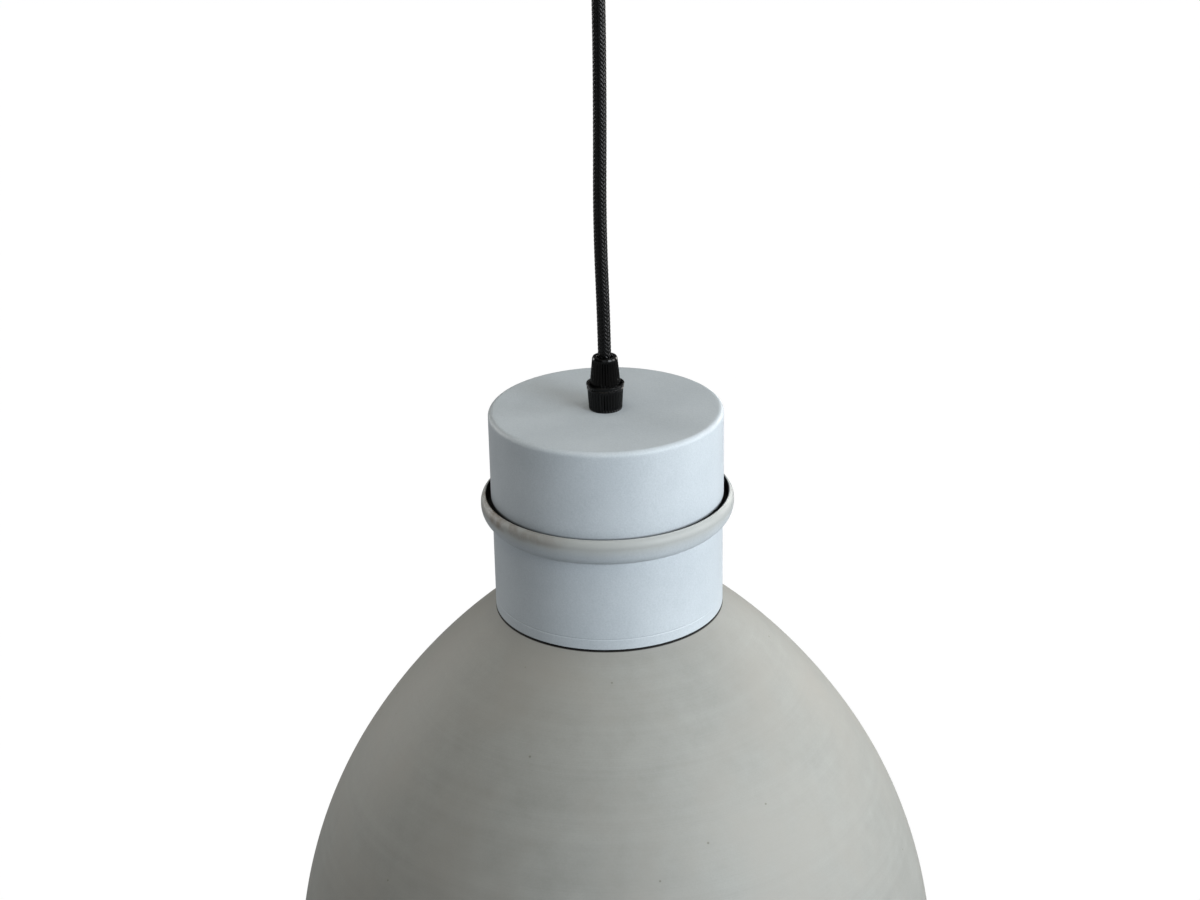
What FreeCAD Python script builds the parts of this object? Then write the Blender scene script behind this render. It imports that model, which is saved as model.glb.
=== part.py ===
"""Pendant ceiling light: ceiling rose, braided cord, cup, ringed neck and spun dome shade.

Millimetres. +Z is up. The origin is the centre of the ceiling bracket's top face, against the ceiling,
and the lamp hangs from it along -Z. Every part of revolution has the Z axis as its own axis.
"""
import FreeCAD, Part
import Sketcher
import math
import os

DOC = FreeCAD.newDocument("pendant_light")
SHEET = DOC.addObject("Spreadsheet::Sheet", "Sheet")
FULL_TURN = 360.0


# ---------------------------------------------------------------- sizes
class Size:
    """A length or angle, kept both as an expression on the sheet and as the number it gives."""

    def __init__(self, text, value):
        self.text = text
        self.value = float(value)

    def combine(self, other, sign, value):
        return Size(f"({self.text} {sign} {other.text})", value)

    def __add__(self, other):
        other = size(other)
        return self.combine(other, "+", self.value + other.value)

    def __sub__(self, other):
        other = size(other)
        return self.combine(other, "-", self.value - other.value)

    def __mul__(self, other):
        other = size(other)
        return self.combine(other, "*", self.value * other.value)

    def __truediv__(self, other):
        other = size(other)
        return self.combine(other, "/", self.value / other.value)

    def __neg__(self):
        return size(0) - self

    __radd__ = __add__
    __rmul__ = __mul__

    def __rsub__(self, other):
        return size(other) - self


def size(value):
    return value if isinstance(value, Size) else Size(repr(float(value)), value)


def sine(angle):
    return Size(f"sin({angle.text} * 1 deg)", math.sin(math.radians(angle.value)))


def cosine(angle):
    return Size(f"cos({angle.text} * 1 deg)", math.cos(math.radians(angle.value)))


sheet_rows = []


def dim(name, value, note):
    """Writes one driving dimension to the sheet: its name, its number and what it is."""
    sheet_rows.append(name)
    row = len(sheet_rows)
    SHEET.set(f"A{row}", name)
    SHEET.set(f"B{row}", str(value))
    SHEET.set(f"C{row}", note)
    SHEET.setAlias(f"B{row}", name)
    return Size(f"Sheet.{name}", value)


# ceiling rose
ROSE_RADIUS = dim("rose_radius", 50, "outer radius of the ceiling cup")
ROSE_HEIGHT = dim("rose_height", 38, "height of the ceiling cup")
ROSE_CORNER = dim("rose_corner", 2.5, "outer corner radius of the ceiling cup")
SHEET_WALL = dim("sheet_wall", 1.2, "wall of the cups, the neck and the ring")
BRACKET_GAP = dim("bracket_gap", 1.6, "bracket's ears inside the ceiling cup's wall")
BRACKET_WIDTH = dim("bracket_width", 18, "width of the steel strap")
BRACKET_THICKNESS = dim("bracket_thickness", 1.5, "thickness of the steel strap")
EAR_DROP = dim("ear_drop", 13, "how far the bracket's ears hang down")
SLOT_SPACING = dim("slot_spacing", 50, "between the centres of the ceiling screw slots")
SLOT_WIDTH = dim("slot_width", 4.4, "width of a ceiling screw slot")
SLOT_LENGTH = dim("slot_length", 10, "end to end length of a ceiling screw slot")
SIDE_SCREW_DROP = dim("side_screw_drop", 8, "side screws below the ceiling")
SIDE_SCREW_RADIUS = dim("side_screw_radius", 1.5, "M3 side screw")
SIDE_HEAD_RADIUS = dim("side_head_radius", 2.8, "head of a side screw")
SIDE_HEAD_HEIGHT = dim("side_head_height", 1.8, "height of a side screw's head")
BLOCK_LENGTH = dim("block_length", 25, "terminal block along the bracket")
BLOCK_WIDTH = dim("block_width", 16, "terminal block across the bracket")
BLOCK_HEIGHT = dim("block_height", 11, "height of the terminal block")
POLE_SPACING = dim("pole_spacing", 8, "between the poles of the terminal block")
EARTH_SCREW_OFFSET = dim("earth_screw_offset", 16.2, "bracket's earth screw from the middle")

# cord and cord grips
CORD_RADIUS = dim("cord_radius", 2.85, "braided three-core cord")
CORD_DROP = dim("cord_drop", 191, "free cord, from one grip's mouth to the other's")
BEND_OFFSET = dim("bend_offset", 8, "cord's bending point below the ceiling grip")
CORE_RADIUS = dim("core_radius", 1.1, "insulated core inside the cord")
GRIP_FOOT_RADIUS = dim("grip_foot_radius", 7.2, "grip body at the cup")
GRIP_TOP_RADIUS = dim("grip_top_radius", 8.25, "grip body at its dished end")
GRIP_BASE_HEIGHT = dim("grip_base_height", 11.8, "height of the grip body")
GRIP_DISH_DEPTH = dim("grip_dish_depth", 1.4, "depth of the dish that the nut sinks into")
GRIP_HEIGHT = dim("grip_height", 23.85, "grip body and nut together")
GRIP_NUT_RADIUS = dim("grip_nut_radius", 6.7, "wide end of the coned nut")
GRIP_NUT_TOP_RADIUS = dim("grip_nut_top_radius", 5.45, "narrow end of the coned nut")
GRIP_MOUTH_RADIUS = dim("grip_mouth_radius", 3.5, "cord hole in the nut")
GRIP_SPIGOT_RADIUS = dim("grip_spigot_radius", 5.2, "threaded spigot under the nut")
THREAD_RADIUS = dim("thread_radius", 5, "M10 threaded tube")
THREAD_BORE_RADIUS = dim("thread_bore_radius", 4, "bore of the threaded tube")
THREAD_ENTRY = dim("thread_entry", 8, "threaded tube inside a grip body")
NUT_FLATS = dim("nut_flats", 14, "M10 thin nut across its flats")
NUT_HEIGHT = dim("nut_height", 3.5, "M10 thin nut")
WASHER_RADIUS = dim("washer_radius", 9, "washer under the nut")
WASHER_HEIGHT = dim("washer_height", 1, "washer under the nut")

# cup, ring and neck
CUP_RADIUS = dim("cup_radius", 51.1, "outer radius of the cup")
CUP_CORNER = dim("cup_corner", 2.2, "outer corner radius of the cup's top")
CUP_HEIGHT = dim("cup_height", 45, "cup's top to its rim")
RING_LIP_RISE = dim("ring_lip_rise", 6.7, "ring's lip above the cup's rim")
RING_LIP_GAP = dim("ring_lip_gap", 2.25, "gap between the cup and the ring's lip")
RING_LIP_WALL = dim("ring_lip_wall", 0.7, "thickness of the ring's lip")
RING_BULGE = dim("ring_bulge", 4.5, "how far the ring stands out past the cup")
RING_BULGE_DROP = dim("ring_bulge_drop", 4.0, "widest line of the ring below its lip")
RING_FOOT_FALL = dim("ring_foot_fall", 5.4, "ring's foot below the cup's rim")
RING_FOOT_STEP = dim("ring_foot_step", 0.9, "ring's foot outside the neck")
NECK_INSET = dim("neck_inset", 0.45, "neck's side inside the cup's side")
NECK_FOOT_DROP = dim("neck_foot_drop", 92.5, "cup's top to the neck's foot")
NECK_HEM = dim("neck_hem", 5.85, "height of the hem at the neck's foot")
NECK_GROOVE = dim("neck_groove", 0.3, "depth and width of the line above the hem")
SPIGOT_RISE = dim("spigot_rise", 9, "neck's spigot above its shoulder")
SPIGOT_GAP = dim("spigot_gap", 0.9, "neck's spigot inside the cup")

# shade
SHADE_RADIUS = dim("shade_radius", 150, "outer radius of the shade at its rim")
SHADE_HEIGHT = dim("shade_height", 194, "neck's foot to where the shade's wall is upright")
SHADE_WALL = dim("shade_wall", 1, "spun wall of the shade")
SHADE_TOP_SLOPE = dim("shade_top_slope", 38.6, "slope of the shade at the neck's foot, degrees")
SHADE_MID_SLOPE = dim("shade_mid_slope", 58.2, "slope where the shade's two curves meet, degrees")
SHADE_FLAT_RADIUS = dim("shade_flat_radius", 36, "flat top of the shade, under the neck")
RIM_BAND = dim("rim_band", 5, "height of the hemmed band at the shade's rim")
RIM_HEM = dim("rim_hem", 2.4, "thickness of the hem inside the rim")

# lampholder
HOLDER_RISE = dim("holder_rise", 42.8, "lampholder's top above the shade's flat")
HOLDER_LENGTH = dim("holder_length", 62, "lampholder, top to mouth")
SKIRT_WALL = dim("skirt_wall", 5.8, "threaded skirt, outside the contact shell")
HOLDER_WALL = dim("holder_wall", 1.5, "wall of the lampholder's cap")
CAP_LENGTH = dim("cap_length", 26, "lampholder's cap")
SHELL_GAP = dim("shell_gap", 0.5, "contact shell round the bulb's cap")
SHELL_WALL = dim("shell_wall", 0.4, "threaded contact shell")
SHELL_LENGTH = dim("shell_length", 24, "threaded contact shell")
INSERT_HEIGHT = dim("insert_height", 11, "ceramic insert")
SHADE_RING_REACH = dim("shade_ring_reach", 7.1, "flange of a clamp ring outside the skirt")
UPPER_RING_HEIGHT = dim("upper_ring_height", 3, "clamp ring above the shade")
LOWER_RING_HEIGHT = dim("lower_ring_height", 6, "clamp ring below the shade")
CONTACT_SCREW_OFFSET = dim("contact_screw_offset", 9.5, "contact screws from the axis")

# bulb
BULB_RADIUS = dim("bulb_radius", 30, "glass of the bulb")
BULB_LENGTH = dim("bulb_length", 105, "bulb from its tip to the end of the glass")
BULB_CAP_RADIUS = dim("bulb_cap_radius", 13.1, "threaded cap of the bulb")
BULB_CAP_LENGTH = dim("bulb_cap_length", 20.5, "threaded cap of the bulb")
GLASS_WALL = dim("glass_wall", 0.8, "glass of the bulb")

# clearances
FIT = dim("fit_clearance", 0.1, "radial clearance of parts that slide into each other")
TURNING_FIT = dim("turning_clearance", 0.05, "radial clearance of a nut on its spigot")
GAP = dim("moving_gap", 0.35, "gap between faces that move past each other")


# ---------------------------------------------------------------- sizes that follow from others
BRACKET_LENGTH = (ROSE_RADIUS - SHEET_WALL - BRACKET_GAP) * 2
NECK_RADIUS = CUP_RADIUS - NECK_INSET
SHELL_RADIUS = BULB_CAP_RADIUS + SHELL_GAP
HOLDER_RADIUS = SHELL_RADIUS + SHELL_WALL + FIT + SKIRT_WALL
SHADE_RING_RADIUS = HOLDER_RADIUS + SHADE_RING_REACH
SHADE_RISE = (NECK_RADIUS - SHADE_FLAT_RADIUS) * sine(SHADE_TOP_SLOPE) / cosine(SHADE_TOP_SLOPE)


# ---------------------------------------------------------------- heights on the axis
ROSE_BOTTOM = -ROSE_HEIGHT
ROSE_MOUTH = ROSE_BOTTOM - GRIP_HEIGHT
BEND_POINT = ROSE_MOUTH - BEND_OFFSET
LAMP_TOP = ROSE_MOUTH - CORD_DROP - GRIP_HEIGHT
NECK_FOOT = LAMP_TOP - NECK_FOOT_DROP
SHADE_FLAT = NECK_FOOT + SHADE_RISE
HOLDER_TOP = SHADE_FLAT + HOLDER_RISE
HOLDER_MOUTH = HOLDER_TOP - HOLDER_LENGTH


# ---------------------------------------------------------------- ways of making a part
def origin_plane(body, role):
    return next(item for item in body.Origin.OriginFeatures if item.Role == role)


def new_sketch(body, name, role):
    sketch = body.newObject("Sketcher::SketchObject", name)
    sketch.AttachmentSupport = [(origin_plane(body, role), "")]
    sketch.MapMode = "FlatFace"
    return sketch


def constrain(sketch, kind, places, value):
    """Adds a sized constraint and binds it to the sheet."""
    number = sketch.addConstraint(Sketcher.Constraint(kind, *places, value.value))
    sketch.setExpression(f"Constraints[{number}]", value.text)


def arc_between(start, end, radius, side):
    """The shorter arc from start to end, with its centre on the left of the chord when side is 1."""
    chord = end - start
    across = FreeCAD.Vector(-chord.y, chord.x, 0).normalize()
    reach = math.sqrt(radius ** 2 - (chord.Length / 2) ** 2)
    centre = (start + end) * 0.5 + across * (reach * side)
    first, last = (start, end) if side > 0 else (end, start)
    low = math.atan2(first.y - centre.y, first.x - centre.x)
    high = math.atan2(last.y - centre.y, last.x - centre.x)
    if high < low:
        high += 2 * math.pi
    circle = Part.Circle(centre, FreeCAD.Vector(0, 0, 1), radius)
    return Part.ArcOfCircle(circle, low, high)


def draw_outline(sketch, outline):
    """Draws a closed outline. A point is (x, y), or (x, y, radius, side) where an arc leaves it."""
    drawn = []
    for here, there in zip(outline, outline[1:] + outline[:1]):
        start = FreeCAD.Vector(size(here[0]).value, size(here[1]).value, 0)
        end = FreeCAD.Vector(size(there[0]).value, size(there[1]).value, 0)
        if len(here) == 4:
            radius = size(here[2])
            edge = sketch.addGeometry(arc_between(start, end, radius.value, here[3]), False)
            constrain(sketch, "Radius", (edge,), radius)
            drawn.append((edge, 1, 2) if here[3] > 0 else (edge, 2, 1))
        else:
            edge = sketch.addGeometry(Part.LineSegment(start, end), False)
            drawn.append((edge, 1, 2))
    for (edge, _, tail), (follower, head, _) in zip(drawn, drawn[1:] + drawn[:1]):
        sketch.addConstraint(Sketcher.Constraint("Coincident", edge, tail, follower, head))
    for (edge, head, _), point in zip(drawn, outline):
        constrain(sketch, "DistanceX", (-1, 1, edge, head), size(point[0]))
        constrain(sketch, "DistanceY", (-1, 1, edge, head), size(point[1]))


def draw_circle(sketch, x, y, radius):
    circle = Part.Circle(FreeCAD.Vector(x.value, y.value, 0), FreeCAD.Vector(0, 0, 1), radius.value)
    edge = sketch.addGeometry(circle, False)
    constrain(sketch, "Radius", (edge,), radius)
    constrain(sketch, "DistanceX", (-1, 1, edge, 3), x)
    constrain(sketch, "DistanceY", (-1, 1, edge, 3), y)


def turned(label, outline, base, upside_down=False):
    """A body turned from its outline of (radius, height), with height 0 at base."""
    body = DOC.addObject("PartDesign::Body", label)
    sketch = new_sketch(body, label + "_outline", "XZ_Plane")
    draw_outline(sketch, outline)
    turn = body.newObject("PartDesign::Revolution", label + "_turn")
    turn.Profile = sketch
    turn.ReferenceAxis = (sketch, ["V_Axis"])
    turn.Angle = FULL_TURN
    body.Tip = turn
    if upside_down:
        body.Placement.Rotation = FreeCAD.Rotation(FreeCAD.Vector(1, 0, 0), 180)
    body.setExpression("Placement.Base.z", size(base).text)
    DOC.recompute()
    return body


def pocket(body, name, role, draw, length=None):
    """Cuts what draw puts on an origin plane, to both sides of it: through all, or length in all."""
    before = body.Shape.Volume
    sketch = new_sketch(body, name + "_outline", role)
    draw(sketch)
    cut = body.newObject("PartDesign::Pocket", name)
    cut.Profile = sketch
    cut.Midplane = True
    if length is None:
        cut.Type = "ThroughAll"
    else:
        cut.Type = "Length"
        cut.setExpression("Length", size(length).text)
    body.Tip = cut
    DOC.recompute()
    if body.Shape.Volume >= before:
        raise RuntimeError(f"{name} cuts nothing")
    return cut


def around(body, feature, count):
    """Repeats a feature around the Z axis."""
    before = body.Shape.Volume
    pattern = body.newObject("PartDesign::PolarPattern", feature.Name + "_around")
    pattern.Originals = [feature]
    pattern.Axis = (origin_plane(body, "Z_Axis"), [""])
    pattern.Angle = FULL_TURN
    pattern.Occurrences = count
    body.Tip = pattern
    DOC.recompute()
    if body.Shape.Volume >= before:
        raise RuntimeError(f"{feature.Name} isn't repeated")


def place(part, x, y, z):
    for axis, value in (("x", x), ("y", y), ("z", z)):
        part.setExpression(f"Placement.Base.{axis}", size(value).text)


def box(label, corner, lengths):
    part = DOC.addObject("Part::Box", label)
    for side, value in zip(("Length", "Width", "Height"), lengths):
        part.setExpression(side, size(value).text)
    place(part, *corner)
    return part


ALONG = {
    "x": FreeCAD.Rotation(FreeCAD.Vector(0, 1, 0), 90),
    "y": FreeCAD.Rotation(FreeCAD.Vector(1, 0, 0), -90),
    "z": FreeCAD.Rotation(),
}


def rod(label, start, along, radius, length):
    """A cylinder from start, running up the axis named."""
    part = DOC.addObject("Part::Cylinder", label)
    part.setExpression("Radius", size(radius).text)
    part.setExpression("Height", size(length).text)
    part.Placement.Rotation = ALONG[along]
    place(part, *start)
    return part


def together(kind, label, parts):
    """Joins parts: kind is MultiFuse, MultiCommon or Compound."""
    part = DOC.addObject("Part::" + kind, label)
    if kind == "Compound":
        part.Links = parts
    else:
        part.Shapes = parts
    return part


def less(label, base, tools):
    """The base with the tools cut out of it."""
    part = DOC.addObject("Part::Cut", label)
    part.Base = base
    part.Tool = tools[0] if len(tools) == 1 else together("MultiFuse", label + "_tools", tools)
    return part


def mirrored_pair():
    """Number and sign of each of two mirrored features."""
    return enumerate((1, -1), start=1)


def screw(label, head_base, along, sign, head, shank):
    """A pan-head screw with a driver slot. Its head stands on the sign side of head_base."""
    head_radius, head_height = head
    shank_radius, shank_length = shank
    index = "xyz".index(along)

    def shifted(amount):
        point = list(head_base)
        point[index] = size(point[index]) + amount
        return point

    top = size(0) if sign > 0 else -head_height
    bottom = -shank_length if sign > 0 else size(0)
    parts = [
        rod(label + "_head", shifted(top), along, head_radius, head_height),
        rod(label + "_shank", shifted(bottom), along, shank_radius, shank_length),
    ]
    slot_width = head_radius / 3
    slot_depth = head_height / 2
    lengths = [head_radius * 3] * 3
    corner = [size(value) - length / 2 for value, length in zip(head_base, lengths)]
    across = (index + 1) % 3
    lengths[across] = slot_width
    corner[across] = size(head_base[across]) - slot_width / 2
    face = size(head_base[index]) + (head_height if sign > 0 else -head_height)
    lengths[index] = slot_depth
    corner[index] = face - slot_depth if sign > 0 else face
    return less(label, together("MultiFuse", label + "_blank", parts), [box(label + "_slot", corner, lengths)])


def tube_path(points):
    """Straight runs through the points, joined by tangent arcs as large as the runs allow."""
    points = [FreeCAD.Vector(*point) for point in points]
    edges = []
    radii = []
    start = points[0]
    for before, corner, after in zip(points, points[1:], points[2:]):
        come = (corner - before).normalize()
        go = (after - corner).normalize()
        trim = 0.45 * min((corner - before).Length, (after - corner).Length)
        half_turn = come.getAngle(go) / 2
        radii.append(trim / math.tan(half_turn))
        arc_start = corner - come * trim
        arc_end = corner + go * trim
        inward = (go - come).normalize()
        middle = corner + inward * (radii[-1] / math.cos(half_turn) - radii[-1])
        edges.append(Part.LineSegment(start, arc_start).toShape())
        edges.append(Part.Arc(arc_start, middle, arc_end).toShape())
        start = arc_end
    edges.append(Part.LineSegment(start, points[-1]).toShape())
    return Part.Wire(edges), radii


def tube(label, points, radius):
    """A round cord or core swept along its path; prints its bend radii and checks its volume."""
    wire, radii = tube_path(points)
    start = FreeCAD.Vector(*points[0])
    heading = FreeCAD.Vector(*points[1]) - start
    section = Part.Wire([Part.Circle(start, heading, radius.value).toShape()])
    shape = wire.makePipeShell([section], True, True)
    expected = math.pi * radius.value ** 2 * wire.Length
    if abs(shape.Volume - expected) > 0.005 * expected:
        raise RuntimeError(f"{label}: volume {shape.Volume:.1f}, section x length {expected:.1f}")
    print(f"{label}: length {wire.Length:.1f}, bend radii {[round(value, 1) for value in radii]}")
    part = DOC.addObject("Part::Feature", label)
    part.Shape = shape
    part.Placement = FreeCAD.Placement()
    return part


# ---------------------------------------------------------------- ceiling rose
def ceiling_bracket():
    """A steel strap with a slot for each ceiling screw and an ear at each end for the cup's side screws."""
    half = BRACKET_LENGTH / 2
    solids = [box("strap", (-half, -BRACKET_WIDTH / 2, -BRACKET_THICKNESS),
                  (BRACKET_LENGTH, BRACKET_WIDTH, BRACKET_THICKNESS))]
    tools = []
    for number, sign in mirrored_pair():
        ear_x = half - BRACKET_THICKNESS if sign > 0 else -half
        solids.append(box(f"ear_{number}", (ear_x, -BRACKET_WIDTH / 2, -EAR_DROP),
                          (BRACKET_THICKNESS, BRACKET_WIDTH, EAR_DROP)))
        middle = SLOT_SPACING / 2 * sign
        straight = SLOT_LENGTH - SLOT_WIDTH
        deep = BRACKET_THICKNESS * 3
        low = -BRACKET_THICKNESS * 2
        tools.append(box(f"slot_{number}", (middle - straight / 2, -SLOT_WIDTH / 2, low),
                         (straight, SLOT_WIDTH, deep)))
        for end, way in mirrored_pair():
            tools.append(rod(f"slot_{number}_end_{end}", (middle + straight / 2 * way, 0, low),
                             "z", SLOT_WIDTH / 2, deep))
    tools.append(rod("side_holes", (-half - 1, 0, -SIDE_SCREW_DROP), "x",
                     SIDE_SCREW_RADIUS + TURNING_FIT, BRACKET_LENGTH + 2))
    tools.append(rod("earth_hole", (EARTH_SCREW_OFFSET, 0, -BRACKET_THICKNESS * 2), "z",
                     EARTH_SHANK + TURNING_FIT, BRACKET_THICKNESS * 3))
    for number, sign in mirrored_pair():
        tools.append(rod(f"block_hole_{number}", (POLE_SPACING / 2 * sign, 0, -BRACKET_THICKNESS * 2), "z",
                         BLOCK_SHANK + TURNING_FIT, BRACKET_THICKNESS * 3))
    return less("ceiling_bracket", together("MultiFuse", "bracket_blank", solids), tools)


def cup_outline(radius, height, corner, hole):
    """An open-ended cup with a flat closed end at height 0, from hole outwards, opening downwards."""
    inside = radius - SHEET_WALL
    return [
        (hole, 0),
        (radius - corner, 0, corner, -1),
        (radius, -corner),
        (radius, -height),
        (inside, -height),
        (inside, -corner, corner - SHEET_WALL, 1),
        (radius - corner, -SHEET_WALL),
        (hole, -SHEET_WALL),
    ]


def ceiling_cup():
    """A pressed cup, mouth up against the ceiling, with two side holes for its screws."""
    outline = cup_outline(ROSE_RADIUS, ROSE_HEIGHT, ROSE_CORNER, THREAD_RADIUS + FIT)
    cup = turned("ceiling_cup", outline, ROSE_BOTTOM, upside_down=True)
    depth = -(ROSE_HEIGHT - SIDE_SCREW_DROP)
    pocket(cup, "cup_side_holes", "YZ_Plane",
           lambda sketch: draw_circle(sketch, size(0), depth, SIDE_SCREW_RADIUS + FIT * 2))
    return cup


def ceiling_cup_screws():
    """Two M3 screws through the cup's wall into the bracket's ears."""
    parts = []
    for number, sign in mirrored_pair():
        parts.append(screw(f"cup_screw_{number}", (ROSE_RADIUS * sign, size(0), -SIDE_SCREW_DROP), "x", sign,
                           (SIDE_HEAD_RADIUS, SIDE_HEAD_HEIGHT), (SIDE_SCREW_RADIUS, SHEET_WALL * 4)))
    return together("Compound", "ceiling_cup_screws", parts)


BLOCK_SHANK = size(1.2)
EARTH_SHANK = size(1.6)
WIRE_HOLE = size(1.5)
CLAMP_SCREW = size(1.6)
CLAMP_SCREW_INSET = size(4)
BLOCK_TOP = -BRACKET_THICKNESS
BLOCK_MIDDLE = BLOCK_TOP - BLOCK_HEIGHT / 2
BLOCK_BOTTOM = BLOCK_TOP - BLOCK_HEIGHT


def poles():
    """Number and place along the bracket of each of the three poles."""
    return [(number + 1, POLE_SPACING * (number - 1)) for number in range(3)]


def terminal_block():
    """A three-pole block under the bracket: a wire hole along Y and two clamp screw wells for each pole."""
    blank = box("block_blank", (-BLOCK_LENGTH / 2, -BLOCK_WIDTH / 2, BLOCK_BOTTOM),
                (BLOCK_LENGTH, BLOCK_WIDTH, BLOCK_HEIGHT))
    tools = []
    for number, x in poles():
        tools.append(rod(f"wire_hole_{number}", (x, -BLOCK_WIDTH / 2 - 1, BLOCK_MIDDLE), "y",
                         WIRE_HOLE, BLOCK_WIDTH + 2))
        for side, sign in mirrored_pair():
            tools.append(rod(f"well_{number}_{side}", (x, CLAMP_SCREW_INSET * sign, BLOCK_BOTTOM - 1), "z",
                             CLAMP_SCREW + FIT, BLOCK_HEIGHT / 2 + 1 - WIRE_HOLE))
    for number, sign in mirrored_pair():
        x = POLE_SPACING / 2 * sign
        tools.append(rod(f"fixing_{number}", (x, 0, BLOCK_BOTTOM - 1), "z", BLOCK_SHANK + FIT, BLOCK_HEIGHT + 2))
    return less("terminal_block", blank, tools)


def terminal_screws():
    """The six clamp screws, sunk in their wells, heads down."""
    parts = []
    length = size(2.6)
    sunk = size(0.8)
    for number, x in poles():
        for side, sign in mirrored_pair():
            name = f"clamp_screw_{number}_{side}"
            start = (x, CLAMP_SCREW_INSET * sign, BLOCK_BOTTOM + sunk)
            blank = rod(name + "_blank", start, "z", CLAMP_SCREW, length)
            slot = box(name + "_slot", (x - CLAMP_SCREW, start[1] - CLAMP_SCREW / 6, BLOCK_BOTTOM),
                       (CLAMP_SCREW * 2, CLAMP_SCREW / 3, sunk * 2))
            parts.append(less(name, blank, [slot]))
    return together("Compound", "terminal_screws", parts)


def block_screws():
    """Two small screws that hold the terminal block to the bracket."""
    parts = []
    for number, sign in mirrored_pair():
        parts.append(screw(f"block_screw_{number}", (POLE_SPACING / 2 * sign, size(0), BLOCK_BOTTOM), "z", -1,
                           (BLOCK_SHANK * 1.7, size(1.4)), (BLOCK_SHANK, BLOCK_HEIGHT + BRACKET_THICKNESS - FIT)))
    return together("Compound", "block_screws", parts)


def bracket_earth_screw():
    """The earth screw of the bracket, head down."""
    return screw("bracket_earth_screw", (EARTH_SCREW_OFFSET, size(0), -BRACKET_THICKNESS), "z", -1,
                 (size(3), size(2.2)), (EARTH_SHANK, BRACKET_THICKNESS - FIT))


# ---------------------------------------------------------------- cord grips
GRIP_NUT_SEAT = GRIP_BASE_HEIGHT - GRIP_DISH_DEPTH
GRIP_LIP = size(1)
GRIP_LIP_WALL = size(0.8)
NUT_CHAMFER = size(0.45)
NUT_CHAMFER_HEIGHT = size(0.85)
NUT_MOUTH_DEPTH = size(0.95)
NUT_HEADROOM = size(0.4)
SPIGOT_TOP = GRIP_HEIGHT - 4.85
JAW_TOP = GRIP_HEIGHT - 1.25
JAW_INSET = size(0.6)
JAW_TIP_WALL = size(0.45)
RIB_DEPTH = size(0.35)
RIB_WIDTH = size(0.5)
RIB_START = size(0.8)
RIB_STOP = size(1.6)
BASE_RIBS = 36
NUT_RIBS = 30


def ribbed(body, name, low, high, count):
    """Cuts grooves along a conical side, from low to high, each a (radius, height)."""
    reach = size(2)

    def draw(sketch):
        draw_outline(sketch, [
            (low[0] - RIB_DEPTH, low[1]),
            (low[0] + reach, low[1]),
            (high[0] + reach, high[1]),
            (high[0] - RIB_DEPTH, high[1]),
        ])

    groove = pocket(body, name, "XZ_Plane", draw, RIB_WIDTH)
    around(body, groove, count)


def grip_base(label, base, upside_down):
    """Grip body: ribbed flaring side, dished end, spigot for the nut, threaded bore at its foot."""
    bore = THREAD_RADIUS + TURNING_FIT
    body = turned(label, [
        (bore, 0),
        (GRIP_FOOT_RADIUS, 0),
        (GRIP_TOP_RADIUS, GRIP_BASE_HEIGHT - GRIP_LIP),
        (GRIP_TOP_RADIUS, GRIP_BASE_HEIGHT),
        (GRIP_TOP_RADIUS - GRIP_LIP_WALL, GRIP_BASE_HEIGHT),
        (GRIP_NUT_RADIUS + GAP, GRIP_NUT_SEAT),
        (GRIP_SPIGOT_RADIUS, GRIP_NUT_SEAT),
        (GRIP_SPIGOT_RADIUS, SPIGOT_TOP),
        (CORD_RADIUS + FIT, SPIGOT_TOP),
        (CORD_RADIUS + FIT, THREAD_ENTRY),
        (bore, THREAD_ENTRY),
    ], base, upside_down)
    ribbed(body, label + "_rib", (GRIP_FOOT_RADIUS, RIB_START), (GRIP_TOP_RADIUS, GRIP_BASE_HEIGHT - RIB_STOP),
           BASE_RIBS)
    return body


def grip_nut(label, base, upside_down):
    """Coned nut that turns on the spigot and squeezes the jaws onto the cord."""
    inside = GRIP_SPIGOT_RADIUS + TURNING_FIT
    body = turned(label, [
        (inside, GRIP_NUT_SEAT + GAP),
        (GRIP_NUT_RADIUS, GRIP_NUT_SEAT + GAP),
        (GRIP_NUT_TOP_RADIUS, GRIP_HEIGHT - NUT_CHAMFER_HEIGHT),
        (GRIP_NUT_TOP_RADIUS - NUT_CHAMFER, GRIP_HEIGHT),
        (GRIP_MOUTH_RADIUS, GRIP_HEIGHT),
        (GRIP_MOUTH_RADIUS, GRIP_HEIGHT - NUT_MOUTH_DEPTH),
        (inside, SPIGOT_TOP + NUT_HEADROOM),
    ], base, upside_down)
    ribbed(body, label + "_rib", (GRIP_NUT_RADIUS, GRIP_BASE_HEIGHT),
           (GRIP_NUT_TOP_RADIUS, GRIP_HEIGHT - RIB_STOP), NUT_RIBS)
    return body


def grip_jaws(label, base, upside_down):
    """Tapered collet on the spigot's end, closed on the cord."""
    return turned(label, [
        (CORD_RADIUS + TURNING_FIT, SPIGOT_TOP),
        (GRIP_SPIGOT_RADIUS - JAW_INSET, SPIGOT_TOP),
        (CORD_RADIUS + JAW_TIP_WALL, JAW_TOP),
        (CORD_RADIUS + TURNING_FIT, JAW_TOP),
    ], base, upside_down)


def threaded_tube(label, bottom, top):
    """M10 threaded tube, drawn with its outer radius and its bore."""
    return turned(label, [
        (THREAD_BORE_RADIUS, 0),
        (THREAD_RADIUS, 0),
        (THREAD_RADIUS, top - bottom),
        (THREAD_BORE_RADIUS, top - bottom),
    ], bottom)


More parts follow.
